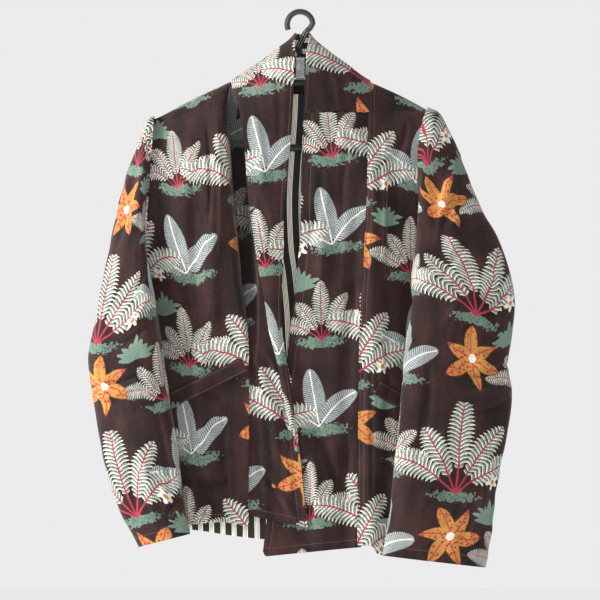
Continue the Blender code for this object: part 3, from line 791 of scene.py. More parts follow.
def sleeve(table, outwards):
    """A sleeve's surface, u round the ring from the inner edge and v from the cuff to the head."""

    def surface(u, v):
        row = read_row(table, 1 - v)
        outer, inner = np.stack(row[:3], axis=-1), np.stack(row[3:6], axis=-1)
        half_depth, front_reach, back_reach = row[6:]
        centre, half = (outer + inner) / 2, (outer - inner) / 2
        along = half / np.linalg.norm(half, axis=-1, keepdims=True)
        depthwise = np.array((0.0, 1.0, 0.0)) - along * along[..., 1:2]
        depthwise /= np.linalg.norm(depthwise, axis=-1, keepdims=True)
        angle = 2 * math.pi * u * outwards
        across, through = -np.cos(angle), -np.sin(angle)
        across = np.sign(across) * np.abs(across) ** (2 / SLEEVE_POWER)
        through = np.sign(through) * np.abs(through) ** (2 / SLEEVE_POWER)
        point = centre + half * across[..., None] + depthwise * (half_depth * through)[..., None]
        reach = np.where(through < 0, front_reach, back_reach)
        share = np.where(across > 0, through**2, 1 - (1 - np.abs(through)) ** 3)
        point[..., 0] -= outwards * reach * share
        return point

    return surface


def turned(surface):
    """The same surface with its other side out."""
    return lambda u, v: surface(1 - u, v)


def part_of(surface, low_u, high_u, low_v, high_v):
    """A rectangle cut out of a surface's own sheet."""
    return lambda u, v: surface(low_u + (high_u - low_u) * u, low_v + (high_v - low_v) * v)


def on_panel(panel, x, z):
    """The panel's points straight behind places on its front, found by halving in u and v."""
    u, v = np.full_like(x, 0.5), np.full_like(x, 0.5)
    for _ in range(8):
        v = bisect(lambda s: panel(u, s)[..., 2], z)
        u = bisect(lambda s: panel(s, v)[..., 0], x)
    return panel(u, v)


def bisect(height_at, wanted):
    """Where rising functions of 0 to 1 take the wanted values."""
    low, high = np.zeros_like(wanted), np.ones_like(wanted)
    for _ in range(24):
        middle = (low + high) / 2
        under = height_at(middle) < wanted
        low, high = np.where(under, middle, low), np.where(under, high, middle)
    return (low + high) / 2


def welt_on(panel, welt, creases, seed):
    """A slanting strip on a front panel: the creased panel's own points under the strip, moved out."""
    (start_x, start_z), (end_x, end_z) = welt["ends"]
    slope = math.atan2(end_z - start_z, end_x - start_x)

    def place(u, v):
        aside = (v - 0.5) * welt["width"]
        x = start_x + (end_x - start_x) * u - math.sin(slope) * aside
        z = start_z + (end_z - start_z) * u + math.cos(slope) * aside
        points = on_panel(panel, x, z)
        rise = crease_rise(creases, x, z) + slack(x, z, seed)
        return points + grid_normals(points) * (rise + WELT_GAP + WELT_WALL)[..., None]

    return place


def grid_normals(points):
    """Outward normals of a grid of points, from its own rows and columns."""
    across, up = np.gradient(points, axis=1), np.gradient(points, axis=0)
    normals = np.cross(across, up)
    return normals / np.maximum(np.linalg.norm(normals, axis=-1, keepdims=True), 1e-9)


def run_length(points, axis):
    """Length along a grid's rows (axis 1) or columns (axis 0), from its first line."""
    steps = np.linalg.norm(np.diff(points, axis=axis), axis=-1)
    start = np.zeros_like(np.take(steps, [0], axis=axis))
    return np.concatenate((start, np.cumsum(steps, axis=axis)), axis=axis)


def flat_cut(points, grain, level):
    """Flat place of every point of a sheet in millimetres: across from its grain line, up from its first row.
    A panel that hangs level has a hem that isn't straight, so it is measured up from a level line."""
    across, up = run_length(points, 1), run_length(points, 0)
    line = int(round(grain * (points.shape[1] - 1)))
    if level:
        up = up + points[:1, :, 2] - points[0, line, 2]
    return across - across[:, line : line + 1], up


def stitched_distance(points, stitches):
    """Signed distance in millimetres of every point from its nearest stitch line, if there is one."""
    across, up = run_length(points, 1), run_length(points, 0)
    from_side = {
        "low_u": across,
        "high_u": across[:, -1:] - across,
        "low_v": up,
        "high_v": up[-1:] - up,
    }
    nearest = np.full(points.shape[:2], NO_STITCH)
    for side, inset in stitches:
        off = from_side[side] - inset
        nearest = np.where(np.abs(off) < np.abs(nearest), off, nearest)
    return nearest


def read_path(place, lengths, path):
    """The vector at one place along a path whose points lie at the given lengths."""
    return np.array([np.interp(place, lengths, path[:, k]) for k in range(3)])


def stitch_path(points, normals, side, inset):
    """Points and normals of a line that runs beside one edge of a sheet, at an inset in millimetres."""
    if side in ("low_v", "high_v"):
        points, normals = points.swapaxes(0, 1), normals.swapaxes(0, 1)
    if side in ("high_u", "high_v"):
        points, normals = points[:, ::-1], normals[:, ::-1]
    lengths = run_length(points, 1)
    path = [read_path(inset, *row) for row in zip(lengths, points)]
    facing = [read_path(inset, *row) for row in zip(lengths, normals)]
    return np.array(path), np.array(facing)


def creased_points(piece, u, v):
    """A sheet's points: its surface raised by creases and slack, which its held edges flatten."""
    points = piece["surface"](u, v)
    x, y, z = points[..., 0], points[..., 1], points[..., 2]
    creases = CREASE_SHARE * crease_rise(piece.get("creases", ()), x, z)
    rise = np.where(y <= piece.get("creased_to", np.inf), creases, 0)
    rise += SLACK_SHARE * piece.get("slack", 1.0) * slack(x, z + SLACK_LEAN * y, piece["seed"])
    from_edge = {"low_u": u, "high_u": 1 - u, "low_v": v, "high_v": 1 - v}
    for side in piece.get("held", ()):
        rise *= soften(from_edge[side] / HELD_SHARE)
    points = points + grid_normals(points) * rise[..., None]
    if piece.get("tube"):
        points[:, -1] = points[:, 0]
    return keep_to_side(piece, points)


def keep_to_side(piece, points, unit=1.0):
    """The points, none past the seam plane that the piece stays on one side of."""
    if "plane" in piece:
        axis, side = piece["plane"]
        points[..., axis] = side * np.maximum(side * points[..., axis], SEAM_GAP / 2 * unit)
    return points


def write_cloth_data(mesh, piece, points, across, up):
    """What the velvet reads: its flat cut as a UV map, its distance from stitching, and where it lies deep,
    which is painted darker as painted shade.
    """
    start_across, start_up = piece["print_at"]
    cut = np.stack((across + start_across, up + start_up), axis=-1).reshape(-1, 2) * MM
    corners = np.empty(len(mesh.loops), np.int32)
    mesh.loops.foreach_get("vertex_index", corners)
    mesh.uv_layers[0].name = "cut"
    mesh.uv_layers[0].data.foreach_set("uv", cut[corners].astype(np.float32).ravel())
    # painted shade: how deep the sheet lies behind the front, where the velvet will be painted darker
    painted_valley_shade = soften((points[..., 1] - VALLEY_FRONT) / VALLEY_FADE)
    deep = painted_valley_shade if piece.get("painted_valley_shade") else np.zeros_like(across)
    for name, values in (("stitched", stitched_distance(points, piece["stitches"])), ("deep", deep)):
        attribute = mesh.attributes.new(name, "FLOAT", "POINT")
        attribute.data.foreach_set("value", values.astype(np.float32).ravel())


def thicken(obj, piece):
    """Gives a laid sheet its thickness and rounds its turned edges."""
    thickness = obj.modifiers.new("cloth thickness", "SOLIDIFY")
    thickness.thickness = piece["wall"] * MM
    thickness.offset = -1
    thickness.use_even_offset = False
    thickness.material_offset = 1
    bpy.ops.object.modifier_apply(modifier=thickness.name)
    rounding = obj.modifiers.new("turned edges", "BEVEL")
    rounding.width = EDGE_ROUNDING * piece["wall"] * MM
    rounding.segments = 2
    rounding.limit_method = "ANGLE"
    rounding.angle_limit = EDGE_ANGLE
    bpy.ops.object.modifier_apply(modifier=rounding.name)
    places = np.empty(len(obj.data.vertices) * 3, np.float32)
    obj.data.vertices.foreach_get("co", places)
    places = keep_to_side(piece, places.reshape(-1, 3), MM)
    obj.data.vertices.foreach_set("co", places.ravel())
    bpy.ops.object.shade_smooth_by_angle(angle=SMOOTH_ANGLE)


def lay_cloth(piece, outer, inner):
    """One sewn sheet, laid as a grid, creased and thickened. Gives the paths of its stitch lines."""
    name, cells = piece["name"], piece["cells"]
    bpy.ops.object.select_all(action="DESELECT")
    bpy.ops.mesh.primitive_grid_add(x_subdivisions=cells[0], y_subdivisions=cells[1], size=1)
    obj = bpy.context.object
    obj.name = obj.data.name = name + "_cloth"
    u, v = np.meshgrid(*(np.linspace(0, 1, count + 1) for count in cells))
    points = creased_points(piece, u, v)
    obj.data.vertices.foreach_set("co", (points * MM).ravel())
    across, up = flat_cut(points, piece.get("grain", 0.5), name in LEVEL_PANELS)
    write_cloth_data(obj.data, piece, points, across, up)
    obj.data.materials.append(outer)
    obj.data.materials.append(inner)
    if piece.get("tube"):
        bpy.ops.object.mode_set(mode="EDIT")
        bpy.ops.mesh.select_all(action="SELECT")
        bpy.ops.mesh.remove_doubles(threshold=WELD * MM)
        bpy.ops.object.mode_set(mode="OBJECT")
    thicken(obj, piece)
    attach(obj, "root")
    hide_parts(name)
    normals = grid_normals(points)
    return [stitch_path(points, normals, side, inset) for side, inset in piece["stitches"]]


def sew(paths, thread):
    """Every stitch of the jacket: one small thread, copied along each stitch line."""
    bpy.ops.object.select_all(action="DESELECT")
    bpy.ops.mesh.primitive_uv_sphere_add(segments=6, ring_count=4, radius=1)
    first = bpy.context.object
    shape = np.array([vertex.co for vertex in first.data.vertices])
    faces = [np.array(face.vertices) for face in first.data.polygons]
    bpy.data.objects.remove(first)
    all_points, all_faces = [], []
    for path, facing in paths:
        steps = np.linalg.norm(np.diff(path, axis=0), axis=1)
        along = np.concatenate(([0], np.cumsum(steps)))
        for place in np.arange(STITCH_PITCH / 2, along[-1], STITCH_PITCH):
            at, up = read_path(place, along, path), read_path(place, along, facing)
            run = read_path(place + 1, along, path) - read_path(place - 1, along, path)
            run /= max(np.linalg.norm(run), 1e-9)
            stitch = (
                shape[:, 2:3] * run * STITCH_LENGTH / 2
                + shape[:, 0:1] * np.cross(up, run) * THREAD_RADIUS
                + shape[:, 1:2] * up * THREAD_RADIUS
            )
            count = len(all_points) * len(shape)
            all_points.append(at + up * THREAD_RADIUS * THREAD_PROUD + stitch)
            all_faces.extend((face + count).tolist() for face in faces)
    mesh = bpy.data.meshes.new("stitching")
    mesh.from_pydata((np.concatenate(all_points) * MM).tolist(), [], all_faces)
    mesh.shade_smooth()
    mesh.materials.append(thread)
    obj = bpy.data.objects.new("stitching", mesh)
    bpy.context.scene.collection.objects.link(obj)
    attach(obj, "root")


def linear(colour):
    """An sRGB hex colour as linear red, green, blue and alpha."""
    parts = [int(colour[i : i + 2], 16) / 255 for i in (1, 3, 5)]
    return (*((p / 12.92 if p <= 0.04045 else ((p + 0.055) / 1.055) ** 2.4) for p in parts), 1.0)


def fill(tree, sockets, values):
    """Links each socket to a node's output, or sets it to a plain value."""
    for socket, value in zip(sockets, values):
        if isinstance(value, bpy.types.NodeSocket):
            tree.links.new(value, socket)
        elif value is not None:
            socket.default_value = value


def node(tree, kind, *inputs, output=0, **settings):
    """Adds a node of a kind such as "TexNoise" or "Math ADD", fills its inputs in order, gives one output."""
    kind, _, operation = kind.partition(" ")
    made = tree.nodes.new("ShaderNode" + kind)
    if operation:
        made.operation = operation
    for name, value in settings.items():
        setattr(made, name, value)
    fill(tree, made.inputs, inputs)
    return made.outputs[output]


def new_material(name, looks, **choices):
    """A material whose shader takes what a looks function gives, by socket name: values or nodes' outputs."""
    made = bpy.data.materials.new(name)
    made.use_nodes = True
    tree = made.node_tree
    wanted = looks(functools.partial(node, tree), **choices)
    shader = tree.nodes["Principled BSDF"]
    fill(tree, [shader.inputs[socket] for socket in wanted], wanted.values())
    return made


def repeat(add, place, middle, turn, size=1.0):
    """The place in one half-drop repeat, about a motif's middle, turned and flipped by chance."""
    moved = add("VectorMath SUBTRACT", place, (*middle, 0))
    cells = add("VectorMath DIVIDE", moved, (*REPEAT, 1))
    column = add("Math FLOOR", add("SeparateXYZ", cells))
    odd = add("Math PINGPONG", column, 1.0)
    drop = add("CombineXYZ", 0.0, add("Math MULTIPLY", odd, 0.5), 0.0)
    dropped = add("VectorMath ADD", cells, drop)
    chance = add("TexWhiteNoise", add("VectorMath FLOOR", dropped), output=1)
    share = add("VectorMath FRACTION", dropped)
    centred = add("VectorMath SUBTRACT", share, (0.5, 0.5, 0))
    own = add("VectorMath MULTIPLY", centred, (REPEAT[0] / size, REPEAT[1] / size, 0))
    side = add("Math GREATER_THAN", add("SeparateXYZ", chance, output=1), 0.5)
    side = add("Math MULTIPLY_ADD", side, 2.0, -1.0)
    own = add("VectorMath MULTIPLY", own, add("CombineXYZ", side, 1.0, 0.0))
    lean = add("Math SUBTRACT", add("SeparateXYZ", chance), 0.5)
    lean = add("Math MULTIPLY", lean, 2 * math.radians(turn))
    return add("VectorRotate", own, (0, 0, 0), None, lean, rotation_type="Z_AXIS")


def polar(add, place):
    """Distance of a place from a motif's middle, and its angle from straight up."""
    x, y = add("SeparateXYZ", place), add("SeparateXYZ", place, output=1)
    return add("VectorMath LENGTH", place, output=1), add("Math ARCTAN2", x, y)


def leaf_width(add, share, power, half_width):
    """Half width of a leaf or petal at a share of its length: nothing at both ends, most in the middle."""
    rest = add("Math SUBTRACT", 1.0, share)
    swell = add("Math MULTIPLY", add("Math MULTIPLY", share, rest), 4.0)
    return add("Math MULTIPLY", add("Math POWER", swell, power), half_width)


def fan(add, place, length, half_width, spread, each_side, bare, droop):
    """A fan of leaves: radius from its base, then reach, distance from the rib and half width of a leaf."""
    radius, angle = polar(add, place)
    reach = add("Math DIVIDE", radius, length)
    bend = add("Math MULTIPLY_ADD", add("Math POWER", reach, 2.0), droop, 1.0)
    upright = add("Math DIVIDE", angle, bend)
    number = add("Math ROUND", add("Math DIVIDE", upright, spread))
    number = add("Math MAXIMUM", add("Math MINIMUM", number, each_side), -each_side)
    off = add("Math MULTIPLY_ADD", number, -spread, upright)
    off = add("Math MULTIPLY", add("Math MULTIPLY", off, bend), radius)
    aside = add("Math ABSOLUTE", off)
    # leaves of uneven length, 0.74 to 1 of the full one
    uneven = add("Math COSINE", add("Math MULTIPLY_ADD", number, 2.3, 0.4))
    uneven = add("Math MULTIPLY_ADD", uneven, 0.13, 0.87)
    own = add("Math DIVIDE", reach, uneven)
    share = add("MapRange", own, bare, 1.0, 0.0, 1.0)
    return radius, own, aside, leaf_width(add, share, 0.55, half_width)


def leaflets(add, radius, aside, pitch, slant):
    """Where each place lies between one slanting leaflet, or vein, and the next, from 0 to 1."""
    slid = add("Math MULTIPLY_ADD", aside, -slant, radius)
    return add("Math FRACT", add("Math DIVIDE", slid, pitch))


def lay_inks(add, colour, *inks):
    """Lays inks of the print over what is under them, each where its mask is 1."""
    for ink, mask in inks:
        colour = add("MixRGB", mask, colour, linear(PRINT[ink]))
    return colour


def palm(add, under, place):
    """Palm fronds with red ribs that thicken to the base, and brushed white leaflets shaded in sage."""
    shape = {"length": 138.0, "half_width": 17.5, "spread": math.radians(27), "each_side": 2.0}
    radius, own, aside, width = fan(add, place, **shape, bare=0.26, droop=0.34)
    curl = add("Math MULTIPLY_ADD", aside, -0.022, 1.0)
    between = leaflets(add, radius, add("Math MULTIPLY", aside, curl), pitch=5.6, slant=0.8)
    wobble = add("TexNoise", place, None, 0.11, 1.0)
    brushed = add("Math MULTIPLY_ADD", wobble, 0.5, between)
    brushed = add("Math SUBTRACT", brushed, 0.25)
    tooth = add("Math MULTIPLY_ADD", between, -0.6, 1.2)
    inside = add("Math LESS_THAN", aside, add("Math MULTIPLY", tooth, width))
    shaded = add("Math MULTIPLY", add("Math LESS_THAN", brushed, 0.76), inside)
    outwards = add("Math DIVIDE", aside, width)
    stroke = add("Math MULTIPLY_ADD", outwards, -0.16, 0.38)
    white = add("Math MULTIPLY", add("Math LESS_THAN", brushed, stroke), inside)
    thin = add("Math MULTIPLY_ADD", own, -0.8, 1.6)
    narrow = add("Math LESS_THAN", aside, thin)
    rib = add("Math MULTIPLY", narrow, add("Math LESS_THAN", own, 0.96))
    return lay_inks(add, under, ("slate sage", shaded), ("off-white", white), ("red", rib))


def broad_leaves(add, under, place):
    """Broad pale leaves with fine dark veins and a white rib."""
    shape = {"length": 84.0, "half_width": 15.0, "spread": math.radians(48), "each_side": 1.0}
    radius, own, aside, width = fan(add, place, **shape, bare=0.08, droop=0.4)
    between = leaflets(add, radius, aside, pitch=3.0, slant=0.6)
    inside = add("Math LESS_THAN", aside, width)
    pale = add("Math MULTIPLY", add("Math LESS_THAN", between, 0.62), inside)
    narrow = add("Math LESS_THAN", aside, 1.0)
    rib = add("Math MULTIPLY", narrow, add("Math LESS_THAN", own, 0.97))
    return lay_inks(add, under, ("dark sage", inside), ("pale sage", pale), ("off-white", rib))


def tuft(add, under, place):
    """A tuft of sage grass."""
    shape = {"length": 34.0, "half_width": 4.2, "spread": math.radians(17), "each_side": 4.0}
    _, _, aside, width = fan(add, place, **shape, bare=-0.3, droop=0.25)
    return lay_inks(add, under, ("sage", add("Math LESS_THAN", aside, width)))


def mound(add, under, place, rough):
    """A low grassy bank in sage, scribbled over, with a ragged edge."""
    flat = add("VectorMath MULTIPLY", place, (1 / 42, 1 / 10, 0))
    far = add("VectorMath LENGTH", flat, output=1)
    ragged = add("Math MULTIPLY_ADD", rough, 1.8, far)
    inside = add("Math LESS_THAN", ragged, 1.7)
    scribble = add("TexNoise", place, None, 0.16, 1.0, 0.5, 2.0, 0.0, 1.0, 1.5)
    off = add("Math ABSOLUTE", add("Math SUBTRACT", scribble, 0.5))
    clear = add("Math GREATER_THAN", off, 0.022)
    return lay_inks(add, under, ("sage", add("Math MULTIPLY", inside, clear)))


def lily(add, under, place):
    """An open gold lily with dark red spots, a red line down each petal and a pale throat."""
    radius, angle = polar(add, place)
    angle = add("Math MULTIPLY_ADD", radius, 0.006, angle)
    folded = add("Math PINGPONG", angle, math.pi / 6)
    ahead = add("Math MULTIPLY", radius, add("Math COSINE", folded))
    aside = add("Math MULTIPLY", radius, add("Math SINE", folded))
    share = add("MapRange", ahead, -8.0, 46.0, 0.0, 1.0)
    width = leaf_width(add, share, 0.75, 11.0)
    # three broad petals and three narrow ones
    threes = add("Math COSINE", add("Math MULTIPLY", angle, 3.0))
    width = add("Math MULTIPLY", width, add("Math MULTIPLY_ADD", threes, 0.24, 1.0))
    inside = add("Math LESS_THAN", aside, width)
    inner = add("Math LESS_THAN", aside, add("Math SUBTRACT", width, 1.3))
    dots = add("TexVoronoi", place, None, 0.19)
    spotted = add("Math MULTIPLY", add("Math LESS_THAN", dots, 0.34), inner)
    line = add("Math MULTIPLY", add("Math LESS_THAN", aside, 0.8), inside)
    throat = add("Math LESS_THAN", radius, 6.0)
    gold = add("MixRGB", share, linear(PRINT["pale gold"]), linear(PRINT["gold"]))
    colour = add("MixRGB", inner, lay_inks(add, under, ("brown", inside)), gold)
    return lay_inks(add, colour, ("deep red", spotted), ("red", line), ("off-white", throat))


def blossom(add, under, place):
    """A small white blossom with a gold eye."""
    radius, angle = polar(add, place)
    lobes = add("Math COSINE", add("Math MULTIPLY", angle, 5.0))
    inside = add("Math LESS_THAN", radius, add("Math MULTIPLY_ADD", lobes, 3.6, 8.4))
    eye = add("Math LESS_THAN", radius, 3.4)
    return lay_inks(add, under, ("off-white", inside), ("gold", eye))


def flat_place(add):
    """The place on a sheet's flat cut, in millimetres."""
    return add("VectorMath MULTIPLY", add("UVMap", uv_map="cut"), (1 / MM, 1 / MM, 0))


def printed_velvet(add):
    """Cotton velvet, cut pile, screen printed: a deep matt brown that goes paler where the pile leans,
    a soft sheen at grazing angles, print whose edges break up in the pile, and painted shade where it lies
    deep."""
    flat = flat_place(add)
    # pile tufts about 0.9 mm thick, drawn at 1.4 mm so that they show
    tufts = add("TexNoise", flat, None, 0.7, 2.0, output=1)
    strayed = add("VectorMath SUBTRACT", tufts, (0.5, 0.5, 0.5))
    strayed = add("VectorMath MULTIPLY", strayed, (2.4, 2.4, 0))
    place = add("VectorMath ADD", flat, strayed)
    # where the pile leans: long patches 22 mm wide, small ones of 5 mm and broad ones of 60 mm
    combed = add("VectorMath MULTIPLY", flat, (1 / 22, 1 / 80, 0))
    leaning = add("TexNoise", combed, None, 1.0, 3.0)
    brushed = add("TexNoise", flat, None, 0.2, 3.0)
    stroked = add("TexNoise", flat, None, 0.016, 1.0)
    pile = add("Math ADD", leaning, add("Math MULTIPLY", brushed, 0.6))
    pile = add("Math MULTIPLY_ADD", stroked, 0.9, pile)
    pile = add("MapRange", pile, 0.88, 1.62, 0.0, 1.0)
    # the pile is paler beside stitching: partly rubbed pile, partly a painted highlight along the seam ridges
    off = add("Math ABSOLUTE", add("Attribute", attribute_name="stitched", output=2))
    pile = add("Math ADD", pile, add("MapRange", off, 0.0, 4.0, 0.25, 0.0))
    colour = add("MixRGB", pile, linear(VELVET["shade"]), linear(VELVET["light"]))
    for middle in ((0, -92), (100, 60), (112, -64)):
        colour = mound(add, colour, repeat(add, place, middle, 3), brushed)
    for motif, middle, turn, size in (
        (tuft, (60, -124), 10, 1.0),
        (broad_leaves, (104, -58), 20, 1.0),
        (palm, (100, 64), 10, 0.62),
        (palm, (0, -86), 5, 1.0),
        (lily, (4, 108), 40, 1.0),
        (blossom, (56, -66), 40, 1.0),
    ):
        colour = motif(add, colour, repeat(add, place, middle, turn, size))
    # the pile's own tone sets how bright the colour is, print too
    pile_tone_and_painted_light = add("Math MULTIPLY_ADD", pile, 0.45, 0.72)
    # painted shade: where the sheet lies deep, in the hollow beside the lapel, the velvet is painted darker
    deep = add("Attribute", attribute_name="deep", output=2)
    pile_tone_and_painted_light = add("Math MULTIPLY", pile_tone_and_painted_light, add("Math MULTIPLY_ADD", deep, -0.72, 1.0))
    groove = add("MapRange", off, 0.0, 2.2, 0.0, 1.0, interpolation_type="SMOOTHSTEP")
    height = add("Math MULTIPLY_ADD", add("SeparateXYZ", tufts), 0.35, groove)
    return {
        "Base Color": add("MixRGB", 1.0, colour, pile_tone_and_painted_light, blend_type="MULTIPLY"),
        "Normal": add("Bump", 0.5, 0.0007, 1.0, height),
        "Roughness": 0.88,
        "Specular IOR Level": 0.2,
        "Sheen Weight": 0.1,
        "Sheen Roughness": 0.5,
        "Sheen Tint": linear("#f0dcd6"),
    }


def striped_cotton(add):
    """Woven cotton lining: cream bands of four fine yarn lines between black ones, matt, in plain weave."""
    flat = flat_place(add)
    band = add("Math FRACT", add("Math DIVIDE", add("SeparateXYZ", flat), STRIPE_PITCH))
    cream = add("Math LESS_THAN", band, STRIPE_SHARE)
    yarn = add("Math FRACT", add("Math DIVIDE", band, STRIPE_SHARE / 4))
    line = add("Math MULTIPLY", add("Math LESS_THAN", yarn, 0.66), cream)
    weave = add("TexNoise", flat, None, 1.4, 2.0)
    tone = add("Math MULTIPLY_ADD", weave, 0.5, 0.72)
    colour = add("MixRGB", line, linear("#171517"), linear("#f2ecdc"))
    return {
        "Base Color": add("MixRGB", 1.0, colour, tone, blend_type="MULTIPLY"),
        "Normal": add("Bump", 0.3, 0.0003, 1.0, weave),
        "Roughness": 0.85,
        "Sheen Weight": 0.1,
    }


def sewing_thread(add):
    """Spun polyester thread, dark brown, a little paler and shinier than the pile."""
    twist = add("TexNoise", add("TexCoord", output=3), None, 900.0, 2.0)
    return {"Base Color": add("MixRGB", twist, linear("#3a2c2a"), linear("#64524e")), "Roughness": 0.6}


def moulded_plastic(add, dark, light):
    """Injection-moulded polystyrene: satin, with a faint cloudiness and small rubbed places."""
    cloud = add("TexNoise", add("TexCoord", output=3), None, 160.0, 3.0)
    return {
        "Base Color": add("MixRGB", cloud, linear(dark), linear(light)),
        "Roughness": add("MapRange", cloud, 0.3, 0.7, 0.34, 0.5),
    }


def white_paper(add):
    """Matt white studio paper: a plain pale ground without shine."""
    return {"Base Color": linear("#fafafa"), "Roughness": 0.9}


def jacket_pieces():
    """Every sewn velvet piece: its surface, creases, stitch lines and where the print falls on it."""
    left_seam = (("low_v", 11), ("low_u", 2.5), ("low_u", 8.5))
    return (
        dict(name="back", surface=back, creases=BACK_CREASES, plane=(1, 1), held=SEAMED,
             stitches=(("low_v", 12),), print_at=(40, 30), seed=1),
        dict(name="front_right", surface=front_right, creases=RIGHT_FRONT_CREASES, plane=(1, -1), held=SEAMED,
             stitches=(("low_v", 11),), print_at=(10, 95), seed=2),
        dict(name="front_left", surface=front_left, creases=LEFT_FRONT_CREASES, plane=(1, -1), held=SEAMED,
             stitches=left_seam, grain=0.2, print_at=(150, 60), seed=3),
        # the right band is painted darker where it lies deep, as painted shade
        dict(name="band_right", surface=band_right, creases=RIGHT_BAND_CREASES, held=("low_u", "high_v"),
             painted_valley_shade=True, stitches=(("low_v", 11), ("high_u", 12)), print_at=(60, 170), seed=4),
        dict(name="band_left", surface=band_left, creases=LEFT_BAND_CREASES, held=("high_u", "high_v"),
             stitches=(("low_v", 11), ("low_u", 13)), print_at=(0, 20), seed=5),
        dict(name="collar_right", surface=collar(RIGHT_COLLAR, COLLAR_CROWN), creases=LAPEL_CREASES,
             creased_to=COLLAR_FRONT, plane=(0, -1), held=("low_u", "high_v"),
             stitches=(("high_u", 4),), print_at=(0, 60), slack=0.5, seed=6),
        dict(name="collar_left", surface=turned(collar(LEFT_COLLAR, COLLAR_CROWN)),
             creases=COLLAR_LEFT_CREASES, creased_to=COLLAR_FRONT, plane=(0, 1),
             held=("high_u", "low_v", "high_v"),
             stitches=(("low_u", 4),), print_at=(60, 0), slack=0.5, seed=7),
        dict(name="sleeve_right", surface=sleeve(RIGHT_SLEEVE, -1), tube=True, creases=RIGHT_SLEEVE_CREASES,
             held=("high_v",), stitches=(("low_v", 14),), print_at=(70, 0), seed=8),
        dict(name="sleeve_left", surface=sleeve(LEFT_SLEEVE, 1), tube=True, creases=LEFT_SLEEVE_CREASES,
             held=("high_v",), stitches=(("low_v", 14),), print_at=(-30, 70), seed=9),
    )


def under_back(u, v):
    """The lining's surface, under the back's creased one and a little forward of it."""
    points = part_of(back, LINING_SIDE, 1 - LINING_SIDE, 0, 1 - LINING_TOP)(u, v)
    inwards = -grid_normals(points) * (VELVET_WALL + LINING_GAP)
    rise = LINING_CREASE_SHARE * crease_rise(BACK_CREASES, points[..., 0], points[..., 2])
    return points + inwards + np.stack((0 * rise, rise - LINING_FORWARD, 0 * rise), axis=-1)


def hang_jacket(velvet, lining, thread):
    """Lays every piece of cloth and sews the stitch lines. The back's own lining is a sheet apart."""
    paths = []
    for piece in jacket_pieces():
        piece.update(cells=CELLS[piece["name"]], wall=VELVET_WALL)
        paths += lay_cloth(piece, velvet, velvet if piece["name"] == "back" else lining)
    behind = dict(name="back_lining", surface=under_back, cells=CELLS["back_lining"], wall=LINING_WALL,
                  stitches=(), print_at=(9.1, 0), slack=0.3, seed=1)
    lay_cloth(behind, lining, lining)
    for name, panel, welt, creases, seed in (
        ("pocket_welt_right", front_right, RIGHT_WELT, RIGHT_FRONT_CREASES, 2),
        ("pocket_welt_left", front_left, LEFT_WELT, LEFT_FRONT_CREASES, 3),
    ):
        strip = dict(name=name, surface=welt_on(panel, welt, creases, seed), cells=CELLS["welt"],
                     wall=WELT_WALL, stitches=(("low_v", 2.2), ("high_v", 2.2)), print_at=(20, 150),
                     slack=0.2, seed=seed)
        paths += lay_cloth(strip, velvet, velvet)
    sew(paths, thread)


def in_metres(sizes):
    return [size * MM for size in sizes]


def finish_copy(obj, step, name):
    """Copies a finished small piece a step aside, and ties both to the jacket."""
    bpy.ops.object.select_all(action="DESELECT")
    obj.select_set(True)
    bpy.context.view_layer.objects.active = obj
    bpy.ops.object.duplicate()
    bpy.ops.transform.translate(value=in_metres(step))
    bpy.ops.object.transform_apply(location=True, rotation=True, scale=True)
    copy = bpy.context.object
    copy.name = copy.data.name = name
    for piece in (obj, copy):
        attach(piece, "root")


def hanger_mouldings(pale, dark):
    """The two pale rims on the hub's plate, and the two fine ridges on the hook's stem, grey on the black
    hook as a painted highlight.
    """
    bpy.ops.object.select_all(action="DESELECT")
    bpy.ops.mesh.primitive_cube_add(size=1, location=in_metres(RIM_MIDDLE))
    bpy.ops.transform.resize(value=in_metres(RIM_SIZE))
    bpy.ops.object.transform_apply(location=True, rotation=True, scale=True)
    rim = bpy.context.object
    rim.name = rim.data.name = "hub_rim_top"
    rounding = rim.modifiers.new("rounding", "BEVEL")
    rounding.width = RIM_ROUNDING * MM
    rounding.segments = 2
    bpy.ops.object.modifier_apply(modifier=rounding.name)
    rim.data.materials.append(pale)
    finish_copy(rim, (0, 0, -RIM_DROP), "hub_rim_bottom")
    bpy.ops.object.select_all(action="DESELECT")
    bpy.ops.curve.primitive_nurbs_path_add(location=(0, 0, 0))
    ridge = bpy.context.object
    for point, (x, z) in zip(ridge.data.splines[0].points, RIDGE_LINE):
        point.co = (*in_metres((x, RIDGE_FRONT, z)), 1)
    ridge.data.bevel_depth = RIDGE_RADIUS * MM
    ridge.data.bevel_resolution = 2
    ridge.data.resolution_u = 6
    ridge.data.use_fill_caps = True
    bpy.ops.object.convert(target="MESH")
    ridge = bpy.context.object
    ridge.name = ridge.data.name = "hook_ridge_right"
    # the ridges are grey, a painted highlight along the black hook's ridges
    ridge.data.materials.append(dark)
    finish_copy(ridge, RIDGE_STEP, "hook_ridge_left")


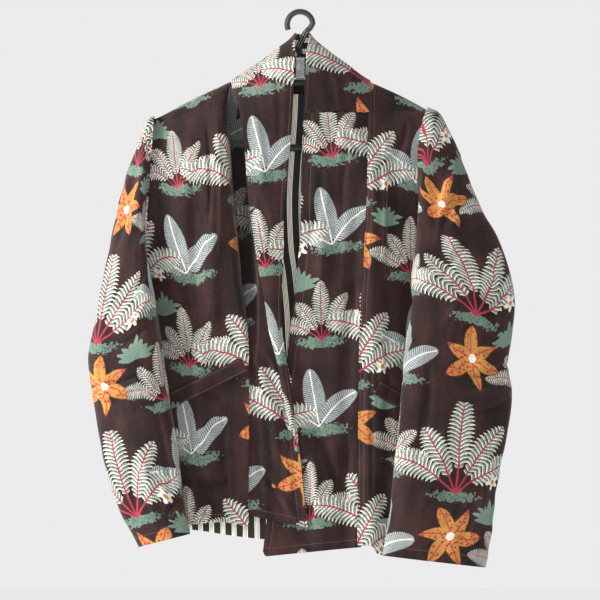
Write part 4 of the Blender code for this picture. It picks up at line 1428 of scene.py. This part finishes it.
def studio():
    """A plain pale floor well below the hem, a white sky, a side light, a front light and the camera."""
    scene = bpy.context.scene
    bpy.ops.object.select_all(action="DESELECT")
    bpy.ops.mesh.primitive_plane_add(size=FLOOR_SIZE, location=(0, 0, FLOOR))
    floor = bpy.context.object
    floor.name = "floor"
    floor.data.materials.append(new_material("matt white paper", white_paper))
    scene.world = bpy.data.worlds.new("white studio")
    scene.world.use_nodes = True
    sky = scene.world.node_tree.nodes["Background"]
    sky.inputs["Color"].default_value = linear("#ffffff")
    sky.inputs["Strength"].default_value = SKY
    for name, place, size, power in LIGHTS:
        light = bpy.data.lights.new(name, "AREA")
        light.size = size
        light.energy = power
        lamp = bpy.data.objects.new(name, light)
        lamp.location = place
        facing = Vector(LIT_MIDDLE) - Vector(place)
        lamp.rotation_euler = facing.to_track_quat("-Z", "Y").to_euler()
        scene.collection.objects.link(lamp)
    lens = bpy.data.cameras.new("camera")
    lens.sensor_width = SENSOR
    lens.lens = LENS
    camera = bpy.data.objects.new("camera", lens)
    camera.location = CAMERA
    camera.rotation_euler = (math.pi / 2, 0, 0)
    scene.collection.objects.link(camera)
    scene.camera = camera
    scene.view_settings.view_transform = "Standard"
    scene.view_settings.exposure = EXPOSURE


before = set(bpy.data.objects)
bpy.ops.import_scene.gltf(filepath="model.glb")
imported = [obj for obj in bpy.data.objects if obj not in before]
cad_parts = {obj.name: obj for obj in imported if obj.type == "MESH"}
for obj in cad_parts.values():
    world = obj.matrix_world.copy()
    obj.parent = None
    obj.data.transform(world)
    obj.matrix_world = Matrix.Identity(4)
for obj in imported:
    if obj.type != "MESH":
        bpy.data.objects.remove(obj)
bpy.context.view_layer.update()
studio()
hang_jacket(
    new_material("printed cotton velvet", printed_velvet),
    new_material("woven striped cotton", striped_cotton),
    new_material("spun polyester thread", sewing_thread),
)
black = new_material("satin black polystyrene", moulded_plastic, dark="#111112", light="#1d1d1f")
# grey: the hub's own colour, and on the hook's ridges a painted highlight
grey = new_material("satin grey polystyrene", moulded_plastic, dark="#565654", light="#6c6c69")
# pale grey for the rims across the hub's plate
pale = new_material("pale grey polystyrene", moulded_plastic, dark="#8a8a86", light="#a6a6a2")
hanger_mouldings(pale, grey)
for part, finish in (("hanger_hook", black), ("hanger_frame", black), ("hanger_hub", grey)):
    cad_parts[part].material_slots[0].material = finish
